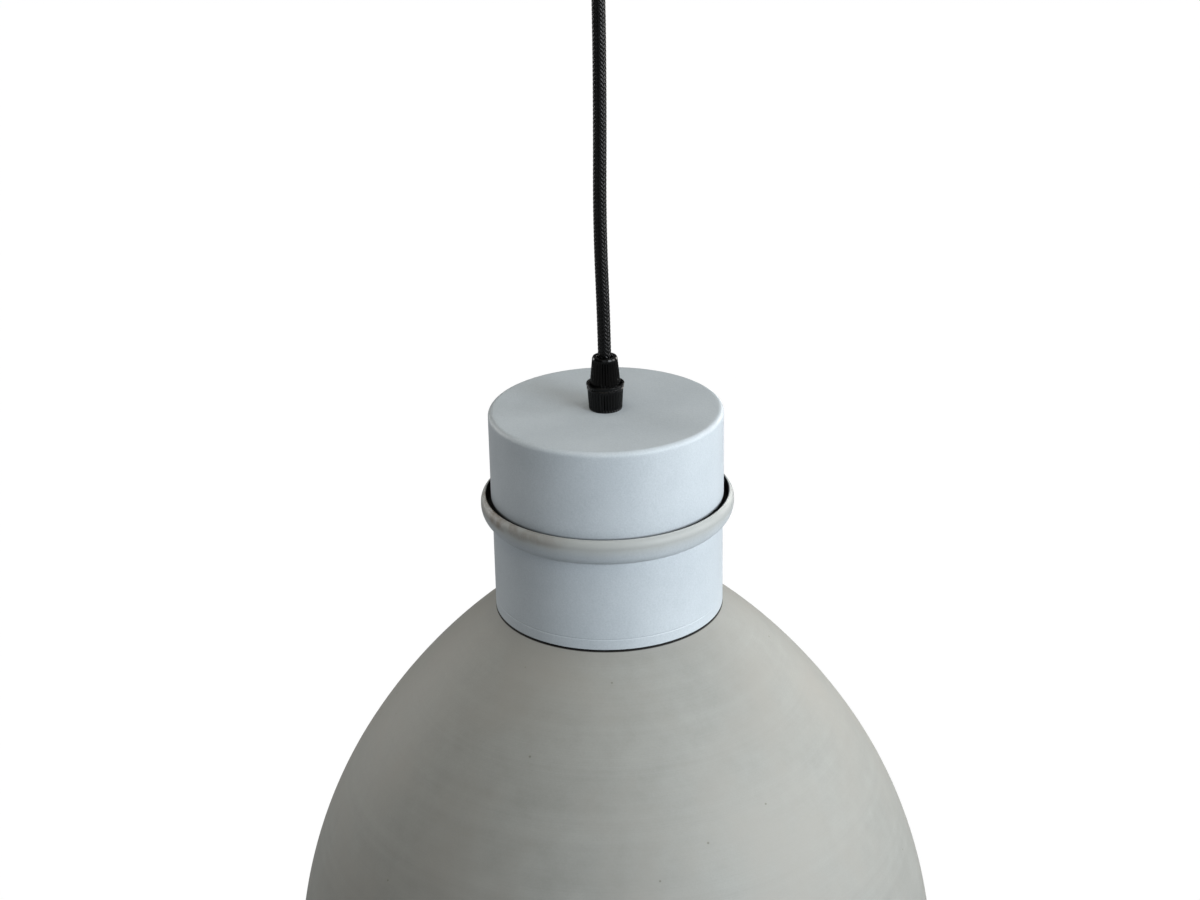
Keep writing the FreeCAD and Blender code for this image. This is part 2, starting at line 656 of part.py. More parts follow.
def thin_nut(label, bottom):
    """M10 thin hexagon nut."""
    body = DOC.addObject("PartDesign::Body", label)
    sketch = new_sketch(body, label + "_outline", "XY_Plane")
    corner = NUT_FLATS / math.sqrt(3)
    outline = []
    for number in range(6):
        turn = math.radians(60 * number)
        outline.append((corner * math.cos(turn), corner * math.sin(turn)))
    draw_outline(sketch, outline)
    draw_circle(sketch, size(0), size(0), THREAD_RADIUS + TURNING_FIT)
    pad = body.newObject("PartDesign::Pad", label + "_pad")
    pad.Profile = sketch
    pad.setExpression("Length", NUT_HEIGHT.text)
    body.Tip = pad
    body.setExpression("Placement.Base.z", size(bottom).text)
    return body


def washer(label, bottom):
    """Plain washer on the threaded tube."""
    hole = THREAD_RADIUS + FIT
    return turned(label, [(hole, 0), (WASHER_RADIUS, 0), (WASHER_RADIUS, WASHER_HEIGHT), (hole, WASHER_HEIGHT)],
                  bottom)


ROSE_TUBE_RISE = size(8)
HOLDER_THREAD = size(6)


def ceiling_grip():
    """The grip under the ceiling cup, its short threaded tube and the nut and washer inside the cup."""
    floor = ROSE_BOTTOM + SHEET_WALL
    return [
        grip_base("ceiling_grip_base", ROSE_BOTTOM, True),
        grip_nut("ceiling_grip_nut", ROSE_BOTTOM, True),
        grip_jaws("ceiling_grip_jaws", ROSE_BOTTOM, True),
        threaded_tube("ceiling_tube", ROSE_BOTTOM - THREAD_ENTRY, ROSE_BOTTOM + ROSE_TUBE_RISE),
        washer("ceiling_washer", floor),
        thin_nut("ceiling_locknut", floor + WASHER_HEIGHT),
    ]


def lamp_grip():
    """The grip on top of the cup, the long threaded tube and the nut and washer under the cup's top."""
    under = LAMP_TOP - SHEET_WALL
    return [
        grip_base("lamp_grip_base", LAMP_TOP, False),
        grip_nut("lamp_grip_nut", LAMP_TOP, False),
        grip_jaws("lamp_grip_jaws", LAMP_TOP, False),
        threaded_tube("lamp_tube", HOLDER_TOP - HOLDER_THREAD, LAMP_TOP + THREAD_ENTRY),
        washer("lamp_washer", under - WASHER_HEIGHT),
        thin_nut("lamp_locknut", under - WASHER_HEIGHT - NUT_HEIGHT),
        thin_nut("holder_locknut", HOLDER_TOP),
    ]


# ---------------------------------------------------------------- cord and cores
CORD_END_LIFT = 0.4
CORD_END_RISE = 2.0
TAIL_RECESS = 1.2
CORD_WAVE = [(0.17, 0.35), (0.39, -0.1), (0.62, -1.1), (0.86, 0)]


def cord():
    """Cord: the tail fixed in the ceiling grip, a turning root, a bending bead, and the long free run.

    The run has a slight wave: each step of CORD_WAVE is a share of the run and the shift in X there."""
    bend = BEND_POINT.value
    tail_low = ROSE_MOUTH.value + TAIL_RECESS
    tail_high = ROSE_BOTTOM.value + ROSE_TUBE_RISE.value + CORD_END_RISE
    clear = CORD_RADIUS.value + GAP.value
    top = bend - clear
    end = LAMP_TOP.value + THREAD_ENTRY.value + CORD_END_LIFT
    wave = [(shift, 0, top - share * (top - end)) for share, shift in CORD_WAVE]
    route = [(0, 0, top), *wave, (0, 0, end)]
    bead = DOC.addObject("Part::Sphere", "cord_bend")
    bead.setExpression("Radius", CORD_RADIUS.text)
    bead.setExpression("Placement.Base.z", BEND_POINT.text)
    return [
        rod("cord_tail", (0, 0, tail_low), "z", CORD_RADIUS, tail_high - tail_low),
        rod("cord_root", (0, 0, bend + clear), "z", CORD_RADIUS, tail_low - GAP.value - bend - clear),
        bead,
        tube("cord", route, CORD_RADIUS),
    ]


CORE_PLACES = [("live", 150), ("earth", 270), ("neutral", 30)]


def core_start(angle, z):
    """Where a core leaves the cord's end: three cores touching around the axis."""
    spread = CORE_RADIUS.value * 1.25
    return (spread * math.cos(math.radians(angle)), spread * math.sin(math.radians(angle)), z)


def ceiling_cores():
    """Three cores from the cord's upper end to the terminal block, and the earth link to the bracket."""
    start_z = ROSE_BOTTOM.value + ROSE_TUBE_RISE.value + CORD_END_RISE
    middle = BLOCK_MIDDLE.value
    face = -BLOCK_WIDTH.value / 2
    parts = []
    for (name, angle), (_, pole) in zip(CORE_PLACES, poles()):
        x, y, _ = core_start(angle, start_z)
        rise = 3 + abs(pole.value) * 0.25
        parts.append(tube(f"ceiling_core_{name}", [
            (x, y, start_z),
            (x, y, start_z + rise),
            (x + pole.value * 0.5, face - 0.5, start_z + rise + 4),
            (pole.value, face - 8.5, middle - 6.5),
            (pole.value + 0.2, face - 7, middle - 0.8),
            (pole.value, face + 2.5, middle),
        ], CORE_RADIUS))
    screw_x = EARTH_SCREW_OFFSET.value
    parts.append(tube("ceiling_earth_link", [
        (0, -face - 2.5, middle),
        (0, -face + 6, middle),
        (screw_x - 1.5, -face + 7, middle + 0.5),
        (screw_x, 4.4, middle + 3.6),
    ], CORE_RADIUS))
    return parts


def lamp_cores():
    """Three cores from the cord's lower end, down the threaded tube to the lampholder's screws."""
    start_z = LAMP_TOP.value + THREAD_ENTRY.value + CORD_END_LIFT
    cap = HOLDER_TOP.value
    insert = INSERT_TOP.value
    screw_x = CONTACT_SCREW_OFFSET.value
    ends = {
        "live": [(3 - screw_x, 3.4, insert + 6.5), (-screw_x, 4.5, insert + 1.3)],
        "neutral": [(screw_x - 3, 3.4, insert + 6.5), (screw_x, 4.5, insert + 1.3)],
        "earth": [(0.3, -7, cap - 13.5), (0, 0.6 - EARTH_HEAD_FACE.value, EARTH_HEIGHT.value)],
    }
    parts = []
    for name, angle in CORE_PLACES:
        straight = [core_start(angle, start_z), core_start(angle, cap - 8.5)]
        parts.append(tube(f"lamp_core_{name}", straight + ends[name], CORE_RADIUS))
    return parts


# ---------------------------------------------------------------- cup, ring and neck
def lamp_cup():
    """The cup: flat closed top, straight side, its rim standing in the ring's gutter."""
    return turned("lamp_cup", cup_outline(CUP_RADIUS, CUP_HEIGHT, CUP_CORNER, THREAD_RADIUS + FIT), LAMP_TOP)


SPIGOT_RADIUS = CUP_RADIUS - SHEET_WALL - SPIGOT_GAP
SHOULDER_DROP = CUP_HEIGHT + SHEET_WALL


def neck_ring():
    """The rolled ring: a gutter for the cup's rim inside, a bulging bead outside, its foot on the neck."""
    lip_inside = CUP_RADIUS + RING_LIP_GAP
    lip_outside = lip_inside + RING_LIP_WALL
    widest = CUP_RADIUS + RING_BULGE
    foot = NECK_RADIUS + RING_FOOT_STEP
    hole = SPIGOT_RADIUS + FIT
    sleeve = NECK_RADIUS + FIT
    lip_drop = CUP_HEIGHT - RING_LIP_RISE
    foot_drop = CUP_HEIGHT + RING_FOOT_FALL
    return turned("neck_ring", [
        (hole, -SHOULDER_DROP),
        (sleeve, -SHOULDER_DROP),
        (sleeve, -foot_drop),
        (foot, -foot_drop, RING_BULGE * 2, 1),
        (widest, -(lip_drop + RING_BULGE_DROP), RING_BULGE, 1),
        (lip_outside, -lip_drop),
        (lip_inside, -lip_drop),
        (lip_inside, -CUP_HEIGHT),
        (hole, -CUP_HEIGHT),
    ], LAMP_TOP)


def neck():
    """The neck sleeve: spigot into the cup, shoulder under the ring, hem line above a foot cut to the shade."""
    inside = NECK_RADIUS - SHEET_WALL
    bore = SPIGOT_RADIUS - SHEET_WALL
    foot_rise = SHEET_WALL * sine(SHADE_TOP_SLOPE) / cosine(SHADE_TOP_SLOPE)
    hem = NECK_FOOT_DROP - NECK_HEM
    top = SHOULDER_DROP - SPIGOT_RISE
    return turned("neck", [
        (bore, -top),
        (SPIGOT_RADIUS, -top),
        (SPIGOT_RADIUS, -SHOULDER_DROP),
        (NECK_RADIUS, -SHOULDER_DROP),
        (NECK_RADIUS, -hem + NECK_GROOVE),
        (NECK_RADIUS - NECK_GROOVE, -hem),
        (NECK_RADIUS, -hem - NECK_GROOVE),
        (NECK_RADIUS, -NECK_FOOT_DROP),
        (inside, -NECK_FOOT_DROP + foot_rise),
        (inside, -SHOULDER_DROP - SHEET_WALL),
        (bore, -SHOULDER_DROP - SHEET_WALL),
    ], LAMP_TOP)


# ---------------------------------------------------------------- shade
def shade():
    """The spun shade: a flat under the neck, a cone, two tangent curves and a hemmed rim.

    The two curves run from the top slope to the middle slope and from there to upright; their radii
    follow from the shade's radius and height.
    """
    out = SHADE_RADIUS - NECK_RADIUS
    first_out = sine(SHADE_MID_SLOPE) - sine(SHADE_TOP_SLOPE)
    first_down = cosine(SHADE_TOP_SLOPE) - cosine(SHADE_MID_SLOPE)
    second_out = 1 - sine(SHADE_MID_SLOPE)
    second_down = cosine(SHADE_MID_SLOPE)
    share = first_out * second_down - second_out * first_down
    first = (second_down * out - second_out * SHADE_HEIGHT) / share
    second = (first_out * SHADE_HEIGHT - first_down * out) / share
    join = (NECK_RADIUS + first * first_out, -(first * first_down))
    wall_out = SHADE_WALL * sine(SHADE_TOP_SLOPE)
    wall_down = SHADE_WALL * cosine(SHADE_TOP_SLOPE)
    corner_in = SHADE_WALL * (1 - cosine(SHADE_TOP_SLOPE)) / sine(SHADE_TOP_SLOPE)
    hole = HOLDER_RADIUS + FIT
    rim = -(SHADE_HEIGHT + RIM_BAND)
    return turned("shade", [
        (hole, SHADE_RISE),
        (SHADE_FLAT_RADIUS, SHADE_RISE),
        (NECK_RADIUS, 0, first, -1),
        (join[0], join[1], second, -1),
        (SHADE_RADIUS, -SHADE_HEIGHT),
        (SHADE_RADIUS, rim),
        (SHADE_RADIUS - RIM_HEM, rim),
        (SHADE_RADIUS - RIM_HEM, rim + RIM_BAND - RIM_HEM),
        (SHADE_RADIUS - SHADE_WALL, -SHADE_HEIGHT, second - SHADE_WALL, 1),
        (join[0] - SHADE_WALL * sine(SHADE_MID_SLOPE), join[1] - SHADE_WALL * cosine(SHADE_MID_SLOPE),
         first - SHADE_WALL, 1),
        (NECK_RADIUS - wall_out, -wall_down),
        (SHADE_FLAT_RADIUS - corner_in, SHADE_RISE - SHADE_WALL),
        (hole, SHADE_RISE - SHADE_WALL),
    ], NECK_FOOT)


# ---------------------------------------------------------------- lampholder
CAP_BOTTOM = HOLDER_TOP - CAP_LENGTH
INSERT_RISE = size(4)
INSERT_INSET = size(1.8)
INSERT_CHAMFER = size(1)
INSERT_TOP = CAP_BOTTOM + INSERT_RISE
INSERT_BOTTOM = INSERT_TOP - INSERT_HEIGHT
INSERT_RADIUS = HOLDER_RADIUS - HOLDER_WALL - INSERT_INSET
EARTH_DROP = size(14.5)
EARTH_HEIGHT = HOLDER_TOP - EARTH_DROP
SCREW_HEAD_RADIUS = size(2.9)
SCREW_HEAD_HEIGHT = size(2.2)
EARTH_STANDOFF = size(0.8)
EARTH_HEAD_FACE = HOLDER_RADIUS - HOLDER_WALL - SCREW_HEAD_HEIGHT - EARTH_STANDOFF
BOSS_HEIGHT = size(2)
DOME_HEIGHT = size(10)
BOSS_DEPTH = size(3.6)
DOME_TUCK = size(0.6)
BOSS_TUCK = size(0.4)
SKIRT_RISE = size(2)
MOUTH_CHAMFER = size(1.2)
MOUTH_CHAMFER_HEIGHT = size(1.5)
SHELL_FLANGE = size(3.4)


def holder_cap():
    """Domed metal cap of the lampholder, screwed on the threaded tube, with a hole for its earth screw."""
    inside = HOLDER_RADIUS - HOLDER_WALL
    boss = THREAD_RADIUS + SHEET_WALL * 3
    cap = turned("holder_cap", [
        (THREAD_RADIUS + TURNING_FIT, 0),
        (boss, 0),
        (boss, -BOSS_HEIGHT),
        (HOLDER_RADIUS, -DOME_HEIGHT),
        (HOLDER_RADIUS, -CAP_LENGTH),
        (inside, -CAP_LENGTH),
        (inside, -DOME_HEIGHT - DOME_TUCK),
        (boss - BOSS_TUCK, -BOSS_DEPTH),
        (THREAD_RADIUS + TURNING_FIT, -BOSS_DEPTH),
    ], HOLDER_TOP)

    def draw(sketch):
        draw_circle(sketch, size(0), -EARTH_DROP, EARTH_SHANK + TURNING_FIT)

    pocket(cap, "cap_earth_hole", "XZ_Plane", draw)
    return cap


def holder_earth_screw():
    """The earth screw in the cap's wall, its head inside."""
    head_base = -(EARTH_HEAD_FACE + SCREW_HEAD_HEIGHT)
    return screw("holder_earth_screw", (size(0), head_base, EARTH_HEIGHT), "y", 1,
                 (SCREW_HEAD_RADIUS, SCREW_HEAD_HEIGHT), (EARTH_SHANK, HOLDER_WALL + EARTH_STANDOFF - FIT * 2))


def holder_skirt():
    """Threaded skirt: a step up into the cap, a seat for the insert, a bore round the contact shell."""
    spigot = HOLDER_RADIUS - HOLDER_WALL - FIT
    seat = INSERT_RADIUS + FIT
    bore = SHELL_RADIUS + SHELL_WALL + FIT
    length = CAP_BOTTOM - HOLDER_MOUTH
    step = INSERT_RISE + SKIRT_RISE
    return turned("holder_skirt", [
        (seat, step),
        (spigot, step),
        (spigot, 0),
        (HOLDER_RADIUS, 0),
        (HOLDER_RADIUS, -length),
        (bore + MOUTH_CHAMFER, -length),
        (bore, -length + MOUTH_CHAMFER_HEIGHT),
        (bore, INSERT_RISE - INSERT_HEIGHT),
        (seat, INSERT_RISE - INSERT_HEIGHT),
    ], CAP_BOTTOM)


def holder_insert():
    """Ceramic insert that carries the contacts, with two holes for the contact screws."""
    disc = turned("holder_insert", [
        (0, 0),
        (INSERT_RADIUS, 0),
        (INSERT_RADIUS, INSERT_HEIGHT - INSERT_CHAMFER),
        (INSERT_RADIUS - INSERT_CHAMFER, INSERT_HEIGHT),
        (0, INSERT_HEIGHT),
    ], INSERT_BOTTOM)

    def draw(sketch):
        for _, sign in mirrored_pair():
            draw_circle(sketch, CONTACT_SCREW_OFFSET * sign, size(0), EARTH_SHANK + FIT)

    pocket(disc, "contact_screw_holes", "XY_Plane", draw)
    return disc


def contact_screws():
    """The live and neutral screws on top of the insert."""
    parts = []
    for number, sign in mirrored_pair():
        parts.append(screw(f"contact_screw_{number}", (CONTACT_SCREW_OFFSET * sign, size(0), INSERT_TOP), "z", 1,
                           (SCREW_HEAD_RADIUS, SCREW_HEAD_HEIGHT), (EARTH_SHANK, INSERT_HEIGHT - 1.5)))
    return together("Compound", "contact_screws", parts)


def contact_shell():
    """Threaded contact shell under the insert, with an inward flange."""
    outside = SHELL_RADIUS + SHELL_WALL
    flange = SHELL_RADIUS - SHELL_FLANGE
    return turned("contact_shell", [
        (flange, 0), (outside, 0), (outside, -SHELL_LENGTH), (SHELL_RADIUS, -SHELL_LENGTH),
        (SHELL_RADIUS, -SHELL_WALL), (flange, -SHELL_WALL),
    ], INSERT_BOTTOM)


CONTACT_DROP = size(1.6)
CONTACT_WIDTH = size(5)
TONGUE_HALF = size(8)
PRESS_HALF = size(2.6)


def centre_contact():
    """Brass spring tongue under the insert that presses on the bulb's tip."""
    body = DOC.addObject("PartDesign::Body", "centre_contact")
    sketch = new_sketch(body, "centre_contact_outline", "XZ_Plane")
    thick = SHELL_WALL
    draw_outline(sketch, [
        (-TONGUE_HALF, 0),
        (TONGUE_HALF, 0),
        (TONGUE_HALF, -thick),
        (PRESS_HALF, -CONTACT_DROP),
        (-PRESS_HALF, -CONTACT_DROP),
        (-PRESS_HALF, thick - CONTACT_DROP),
        (PRESS_HALF - thick, thick - CONTACT_DROP),
        (TONGUE_HALF - thick * 4, -thick),
        (-TONGUE_HALF, -thick),
    ])
    pad = body.newObject("PartDesign::Pad", "centre_contact_pad")
    pad.Profile = sketch
    pad.Midplane = True
    pad.setExpression("Length", CONTACT_WIDTH.text)
    body.Tip = pad
    body.setExpression("Placement.Base.z", INSERT_BOTTOM.text)
    return body


RING_BODY_WALL = size(3.5)
FLANGE_HEIGHT = size(1.8)


def clamp_ring(label, bottom, height, side):
    """A ring threaded on the skirt, with a wider flange on its shade side; side is 1 above the shade."""
    bore = HOLDER_RADIUS + TURNING_FIT
    body = bore + RING_BODY_WALL
    low, high = (0, height) if side < 0 else (height, 0)
    near = high - FLANGE_HEIGHT if side < 0 else high + FLANGE_HEIGHT
    return turned(label, [(bore, low), (body, low), (body, near), (SHADE_RING_RADIUS, near),
                          (SHADE_RING_RADIUS, high), (bore, high)], bottom)


def shade_rings():
    """The two rings that clamp the shade between them."""
    return [
        clamp_ring("shade_ring_upper", SHADE_FLAT, UPPER_RING_HEIGHT, 1),
        clamp_ring("shade_ring_lower", SHADE_FLAT - SHADE_WALL - LOWER_RING_HEIGHT, LOWER_RING_HEIGHT, -1),
    ]


# ---------------------------------------------------------------- bulb
BULB_TIP = INSERT_BOTTOM - CONTACT_DROP - GAP
TIP_HEIGHT = size(1.2)
INSULATOR_HEIGHT = size(3.2)
CAP_TOP = TIP_HEIGHT + FIT + INSULATOR_HEIGHT
CAP_LOW = CAP_TOP + BULB_CAP_LENGTH
BULB_NECK_RADIUS = BULB_CAP_RADIUS - 0.9
TIP_RADIUS = size(4.4)
TIP_FOOT_RADIUS = size(4.6)
INSULATOR_RADIUS = size(5.2)
CAP_EDGE = size(0.6)
CAP_EDGE_DROP = size(1.2)
CAP_HOLE_INSET = size(1.6)
GLASS_IN_CAP = size(5)
GLASS_BELOW_CAP = size(6)
STEM_IN_CAP = size(4)
STEM_FLARE = size(2)
STEM_GAP = size(0.2)
STEM_PINCH = size(10)
STEM_LENGTH = size(38)
ROD_CIRCLE = size(9)
ROD_RADIUS = size(0.9)
ROD_LENGTH = size(34)
ROD_END = size(44)


def bulb():
    """Threaded bulb: tip, insulator, cap, glass, inner stem and four light rods."""
    globe = BULB_LENGTH - BULB_RADIUS
    neck_low = CAP_LOW + GLASS_BELOW_CAP
    inner = BULB_RADIUS - GLASS_WALL
    throat = BULB_NECK_RADIUS - GLASS_WALL
    shoulder = BULB_RADIUS * 1.7
    cap_hole = BULB_CAP_RADIUS - CAP_HOLE_INSET
    cap_inside = BULB_CAP_RADIUS - CAP_EDGE
    flare = throat - STEM_GAP
    parts = [
        turned("bulb_tip", [
            (0, 0),
            (TIP_RADIUS, 0),
            (TIP_FOOT_RADIUS, -TIP_HEIGHT),
            (0, -TIP_HEIGHT),
        ], BULB_TIP),
        turned("bulb_insulator", [
            (0, -TIP_HEIGHT - FIT),
            (INSULATOR_RADIUS, -TIP_HEIGHT - FIT),
            (BULB_NECK_RADIUS, -CAP_TOP),
            (0, -CAP_TOP),
        ], BULB_TIP),
        turned("bulb_cap", [
            (cap_hole, -CAP_TOP),
            (cap_inside, -CAP_TOP),
            (BULB_CAP_RADIUS, -CAP_TOP - CAP_EDGE_DROP),
            (BULB_CAP_RADIUS, -CAP_LOW),
            (cap_inside, -CAP_LOW),
            (cap_inside, -CAP_TOP - CAP_EDGE),
            (cap_hole, -CAP_TOP - CAP_EDGE),
        ], BULB_TIP),
        turned("bulb_glass", [
            (throat, GLASS_IN_CAP - CAP_LOW),
            (BULB_NECK_RADIUS, GLASS_IN_CAP - CAP_LOW),
            (BULB_NECK_RADIUS, -neck_low, shoulder, 1),
            (BULB_RADIUS, -globe, BULB_RADIUS, -1),
            (0, -BULB_LENGTH),
            (0, GLASS_WALL - BULB_LENGTH, inner, 1),
            (inner, -globe, shoulder + GLASS_WALL, -1),
            (throat, -neck_low),
        ], BULB_TIP),
        turned("bulb_stem", [
            (0, STEM_IN_CAP - CAP_LOW),
            (flare, STEM_IN_CAP - CAP_LOW),
            (flare, STEM_FLARE - CAP_LOW),
            (4, -CAP_LOW - STEM_FLARE),
            (2.4, -CAP_LOW - STEM_PINCH),
            (1.6, -CAP_LOW - STEM_LENGTH),
            (0, -CAP_LOW - STEM_LENGTH),
        ], BULB_TIP),
    ]
    rods = []
    for number in range(4):
        turn = math.radians(90 * number)
        start = (ROD_CIRCLE * math.cos(turn), ROD_CIRCLE * math.sin(turn), BULB_TIP - CAP_LOW - ROD_END)
        rods.append(rod(f"light_rod_{number + 1}", start, "z", ROD_RADIUS, ROD_LENGTH))
    parts.append(together("Compound", "bulb_light_rods", rods))
    return parts


# ---------------------------------------------------------------- build, check and write
SUB_PARTS = [
    ceiling_bracket(),
    ceiling_cup(),
    ceiling_cup_screws(),
    terminal_block(),
    terminal_screws(),
    block_screws(),
    bracket_earth_screw(),
    *ceiling_grip(),
    *ceiling_cores(),
    *cord(),
    *lamp_grip(),
    *lamp_cores(),
    lamp_cup(),
    neck_ring(),
    neck(),
    shade(),
    holder_cap(),
    holder_earth_screw(),
    holder_skirt(),
    holder_insert(),
    contact_screws(),
    contact_shell(),
    centre_contact(),
    *shade_rings(),
    *bulb(),
]
DOC.recompute()

for item in DOC.Objects:
    if "Invalid" in item.State or "Error" in item.State:
        raise RuntimeError(f"{item.Label}: {item.State}")
for part in SUB_PARTS:
    if part.Shape.isNull() or not part.Shape.isValid() or not part.Shape.Solids:
        raise RuntimeError(f"{part.Label}: no valid solid")

os.makedirs("parts", exist_ok=True)
for part in SUB_PARTS:
    part.Shape.exportStep(f"parts/{part.Label}.step")
print(f"{len(SUB_PARTS)} parts, {sum(len(part.Shape.Solids) for part in SUB_PARTS)} solids")
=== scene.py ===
import math

import bpy
import numpy as np
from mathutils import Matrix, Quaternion, Vector


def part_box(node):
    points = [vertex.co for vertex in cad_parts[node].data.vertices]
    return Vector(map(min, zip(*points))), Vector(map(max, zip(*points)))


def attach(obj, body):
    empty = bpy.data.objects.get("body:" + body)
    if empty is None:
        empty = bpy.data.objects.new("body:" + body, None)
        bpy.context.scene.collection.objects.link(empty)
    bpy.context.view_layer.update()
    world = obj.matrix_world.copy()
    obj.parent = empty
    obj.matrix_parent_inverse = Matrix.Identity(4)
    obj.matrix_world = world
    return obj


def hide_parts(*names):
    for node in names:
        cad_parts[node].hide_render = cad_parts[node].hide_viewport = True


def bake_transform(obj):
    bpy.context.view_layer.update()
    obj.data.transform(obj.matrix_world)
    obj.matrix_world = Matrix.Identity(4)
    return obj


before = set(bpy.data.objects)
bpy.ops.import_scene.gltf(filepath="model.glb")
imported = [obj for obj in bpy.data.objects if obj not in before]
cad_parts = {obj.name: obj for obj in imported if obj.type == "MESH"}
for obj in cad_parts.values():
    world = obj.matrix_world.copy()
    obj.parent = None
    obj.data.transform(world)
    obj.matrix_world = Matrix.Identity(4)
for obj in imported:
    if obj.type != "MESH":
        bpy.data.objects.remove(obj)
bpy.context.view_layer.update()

# Pendant ceiling light: a spun dome shade under a ringed neck and a cup, hung on a braided cord from a
# ceiling cup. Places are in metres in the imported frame: +Z is up, the ceiling is at 0, and the lamp hangs on
# the Z axis. A piece's own sizes are in millimetres.


# ---------------------------------------------------------------- camera
# A long lens, a metre from the cup, looks down on it by 23 degrees and leans by one.
# Its frame takes in the cord, its grip, the cup, ring and neck, and the shade to just above the rim.

LENS = 69
CAMERA_DISTANCE = 1.003
LOOK_DOWN = math.radians(22.87)
LEAN = math.radians(-1.18)
AIM_ASIDE = -0.00284
AIM_UNDER_CUP_TOP = 0.01985

lamp_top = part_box("lamp_cup")[1].z
camera = bpy.data.objects.new("camera", bpy.data.cameras.new("camera"))
bpy.context.scene.collection.objects.link(camera)
camera.data.lens = LENS
aim = Vector((AIM_ASIDE, 0, lamp_top - AIM_UNDER_CUP_TOP))
camera.location = aim + CAMERA_DISTANCE * Vector((0, -math.cos(LOOK_DOWN), math.sin(LOOK_DOWN)))
tilt = Quaternion((1, 0, 0), math.pi / 2 - LOOK_DOWN) @ Quaternion((0, 0, 1), LEAN)
camera.rotation_euler = tilt.to_euler()
bpy.context.scene.camera = camera


# ---------------------------------------------------------------- cord
# Round three-core flex, 5.7 mm thick, in a braided black textile sleeve: 28 strands, half of them winding
# each way, over two and under two. It hangs taut between the ceiling grip and the lamp's grip, slightly set.
# A short root under the ceiling grip turns with the lamp, and the cord bends on a rounded top just below it.

MM = 0.001
CORD_RADIUS = 2.85
CORD_ROUTE = [
    (0, 0, -0.07305),
    (0.00035, 0, -0.10624),
    (-0.0001, 0, -0.1492),
    (-0.0011, 0, -0.1941),
    (0, 0, -0.24097),
    (0, 0, -0.2683),
]
STRANDS = 14
THREADS = 4
BRAID_REPEAT = 1.8
BRAID_RELIEF = 0.26
BRAID_INSIDE = 0.85
BRAID_ROW = 0.24
BRAID_COLUMNS = 98
DOME_ROWS = 14
DOME_START = 0.15
bend_point = (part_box("cord_bend")[0].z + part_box("cord_bend")[1].z) / 2


def grid_piece(name, points, outward, closed=False, lids=(), sharp=35):
    """A mesh over a grid of points, [row, column], that closes on itself column-wise.

    Its UV map runs with the turn in U and with the mean distance along the rows, in millimetres, in V.
    closed joins the last row to the first. lids are the rows that get one flat face. A row on the axis
    becomes a point. outward is 1 where the rows, seen from outside with the columns running right, run up."""
    rows, columns = points.shape[:2]
    steps = np.linalg.norm(np.diff(points, axis=0, append=points[:1]), axis=2).mean(axis=1) / MM
    distance = np.concatenate([[0], np.cumsum(steps)])
    count = rows if closed else rows - 1
    row, column = np.meshgrid(np.arange(count), np.arange(columns), indexing="ij")
    corner_rows = np.stack([row, row, row + 1, row + 1], axis=-1).reshape(-1, 4)
    corner_columns = np.stack([column, column + 1, column + 1, column], axis=-1).reshape(-1, 4)
    uv = np.stack([corner_columns / columns, distance[corner_rows]], axis=-1)
    on_axis = np.ptp(points.reshape(rows, -1, 3), axis=1).max(axis=1) < 1e-9
    number = np.arange(rows)[:, None] * columns + np.where(on_axis[:, None], 0, np.arange(columns))
    corners = number[corner_rows % rows, corner_columns % columns]
    low_point = corners[:, 0] == corners[:, 1]
    high_point = corners[:, 2] == corners[:, 3]
    blocks = []
    for chosen, keep in [
        (~low_point & ~high_point, [0, 1, 2, 3]),
        (low_point & ~high_point, [0, 2, 3]),
        (high_point & ~low_point, [0, 1, 2]),
    ]:
        keep = keep if outward > 0 else keep[::-1]
        blocks.append((corners[chosen][:, keep], uv[chosen][:, keep]))
    faces = [face for block, _ in blocks for face in block.tolist()]
    places = [block.reshape(-1, 2) for _, block in blocks]
    for lid in lids:
        rim = number[lid % rows]
        downward = (lid == 0) == (outward > 0)
        faces.append((rim[::-1] if downward else rim).tolist())
        places.append(np.stack([np.full(columns, 0.5), np.full(columns, distance[lid % rows])], axis=-1))
    used, new_number = np.unique(np.concatenate([np.ravel(face) for face in faces]), return_inverse=True)
    sizes = [len(face) for face in faces]
    faces = [face.tolist() for face in np.split(new_number, np.cumsum(sizes)[:-1])]
    mesh = bpy.data.meshes.new(name)
    mesh.from_pydata(points.reshape(-1, 3)[used], [], faces)
    layer = mesh.uv_layers.new(name="wrap")
    layer.data.foreach_set("uv", np.concatenate(places).ravel())
    mesh.shade_smooth()
    mesh.set_sharp_from_angle(angle=math.radians(sharp))
    piece = bpy.data.objects.new(name, mesh)
    bpy.context.scene.collection.objects.link(piece)
    return piece


def smooth_line(route):
    """Closely spaced points on the smooth spline that the route's points pull into shape."""
    curve = bpy.data.curves.new("cord_line", "CURVE")
    curve.dimensions = "3D"
    curve.resolution_u = 32
    spline = curve.splines.new("NURBS")
    spline.points.add(len(route) - 1)
    for point, place in zip(spline.points, route):
        point.co = (*place, 1)
    spline.order_u = 3
    spline.use_endpoint_u = True
    holder = bpy.data.objects.new("cord_line", curve)
    line = bpy.data.meshes.new_from_object(holder)
    points = np.array([vertex.co for vertex in line.vertices])
    bpy.data.objects.remove(holder)
    bpy.data.curves.remove(curve)
    bpy.data.meshes.remove(line)
    return points


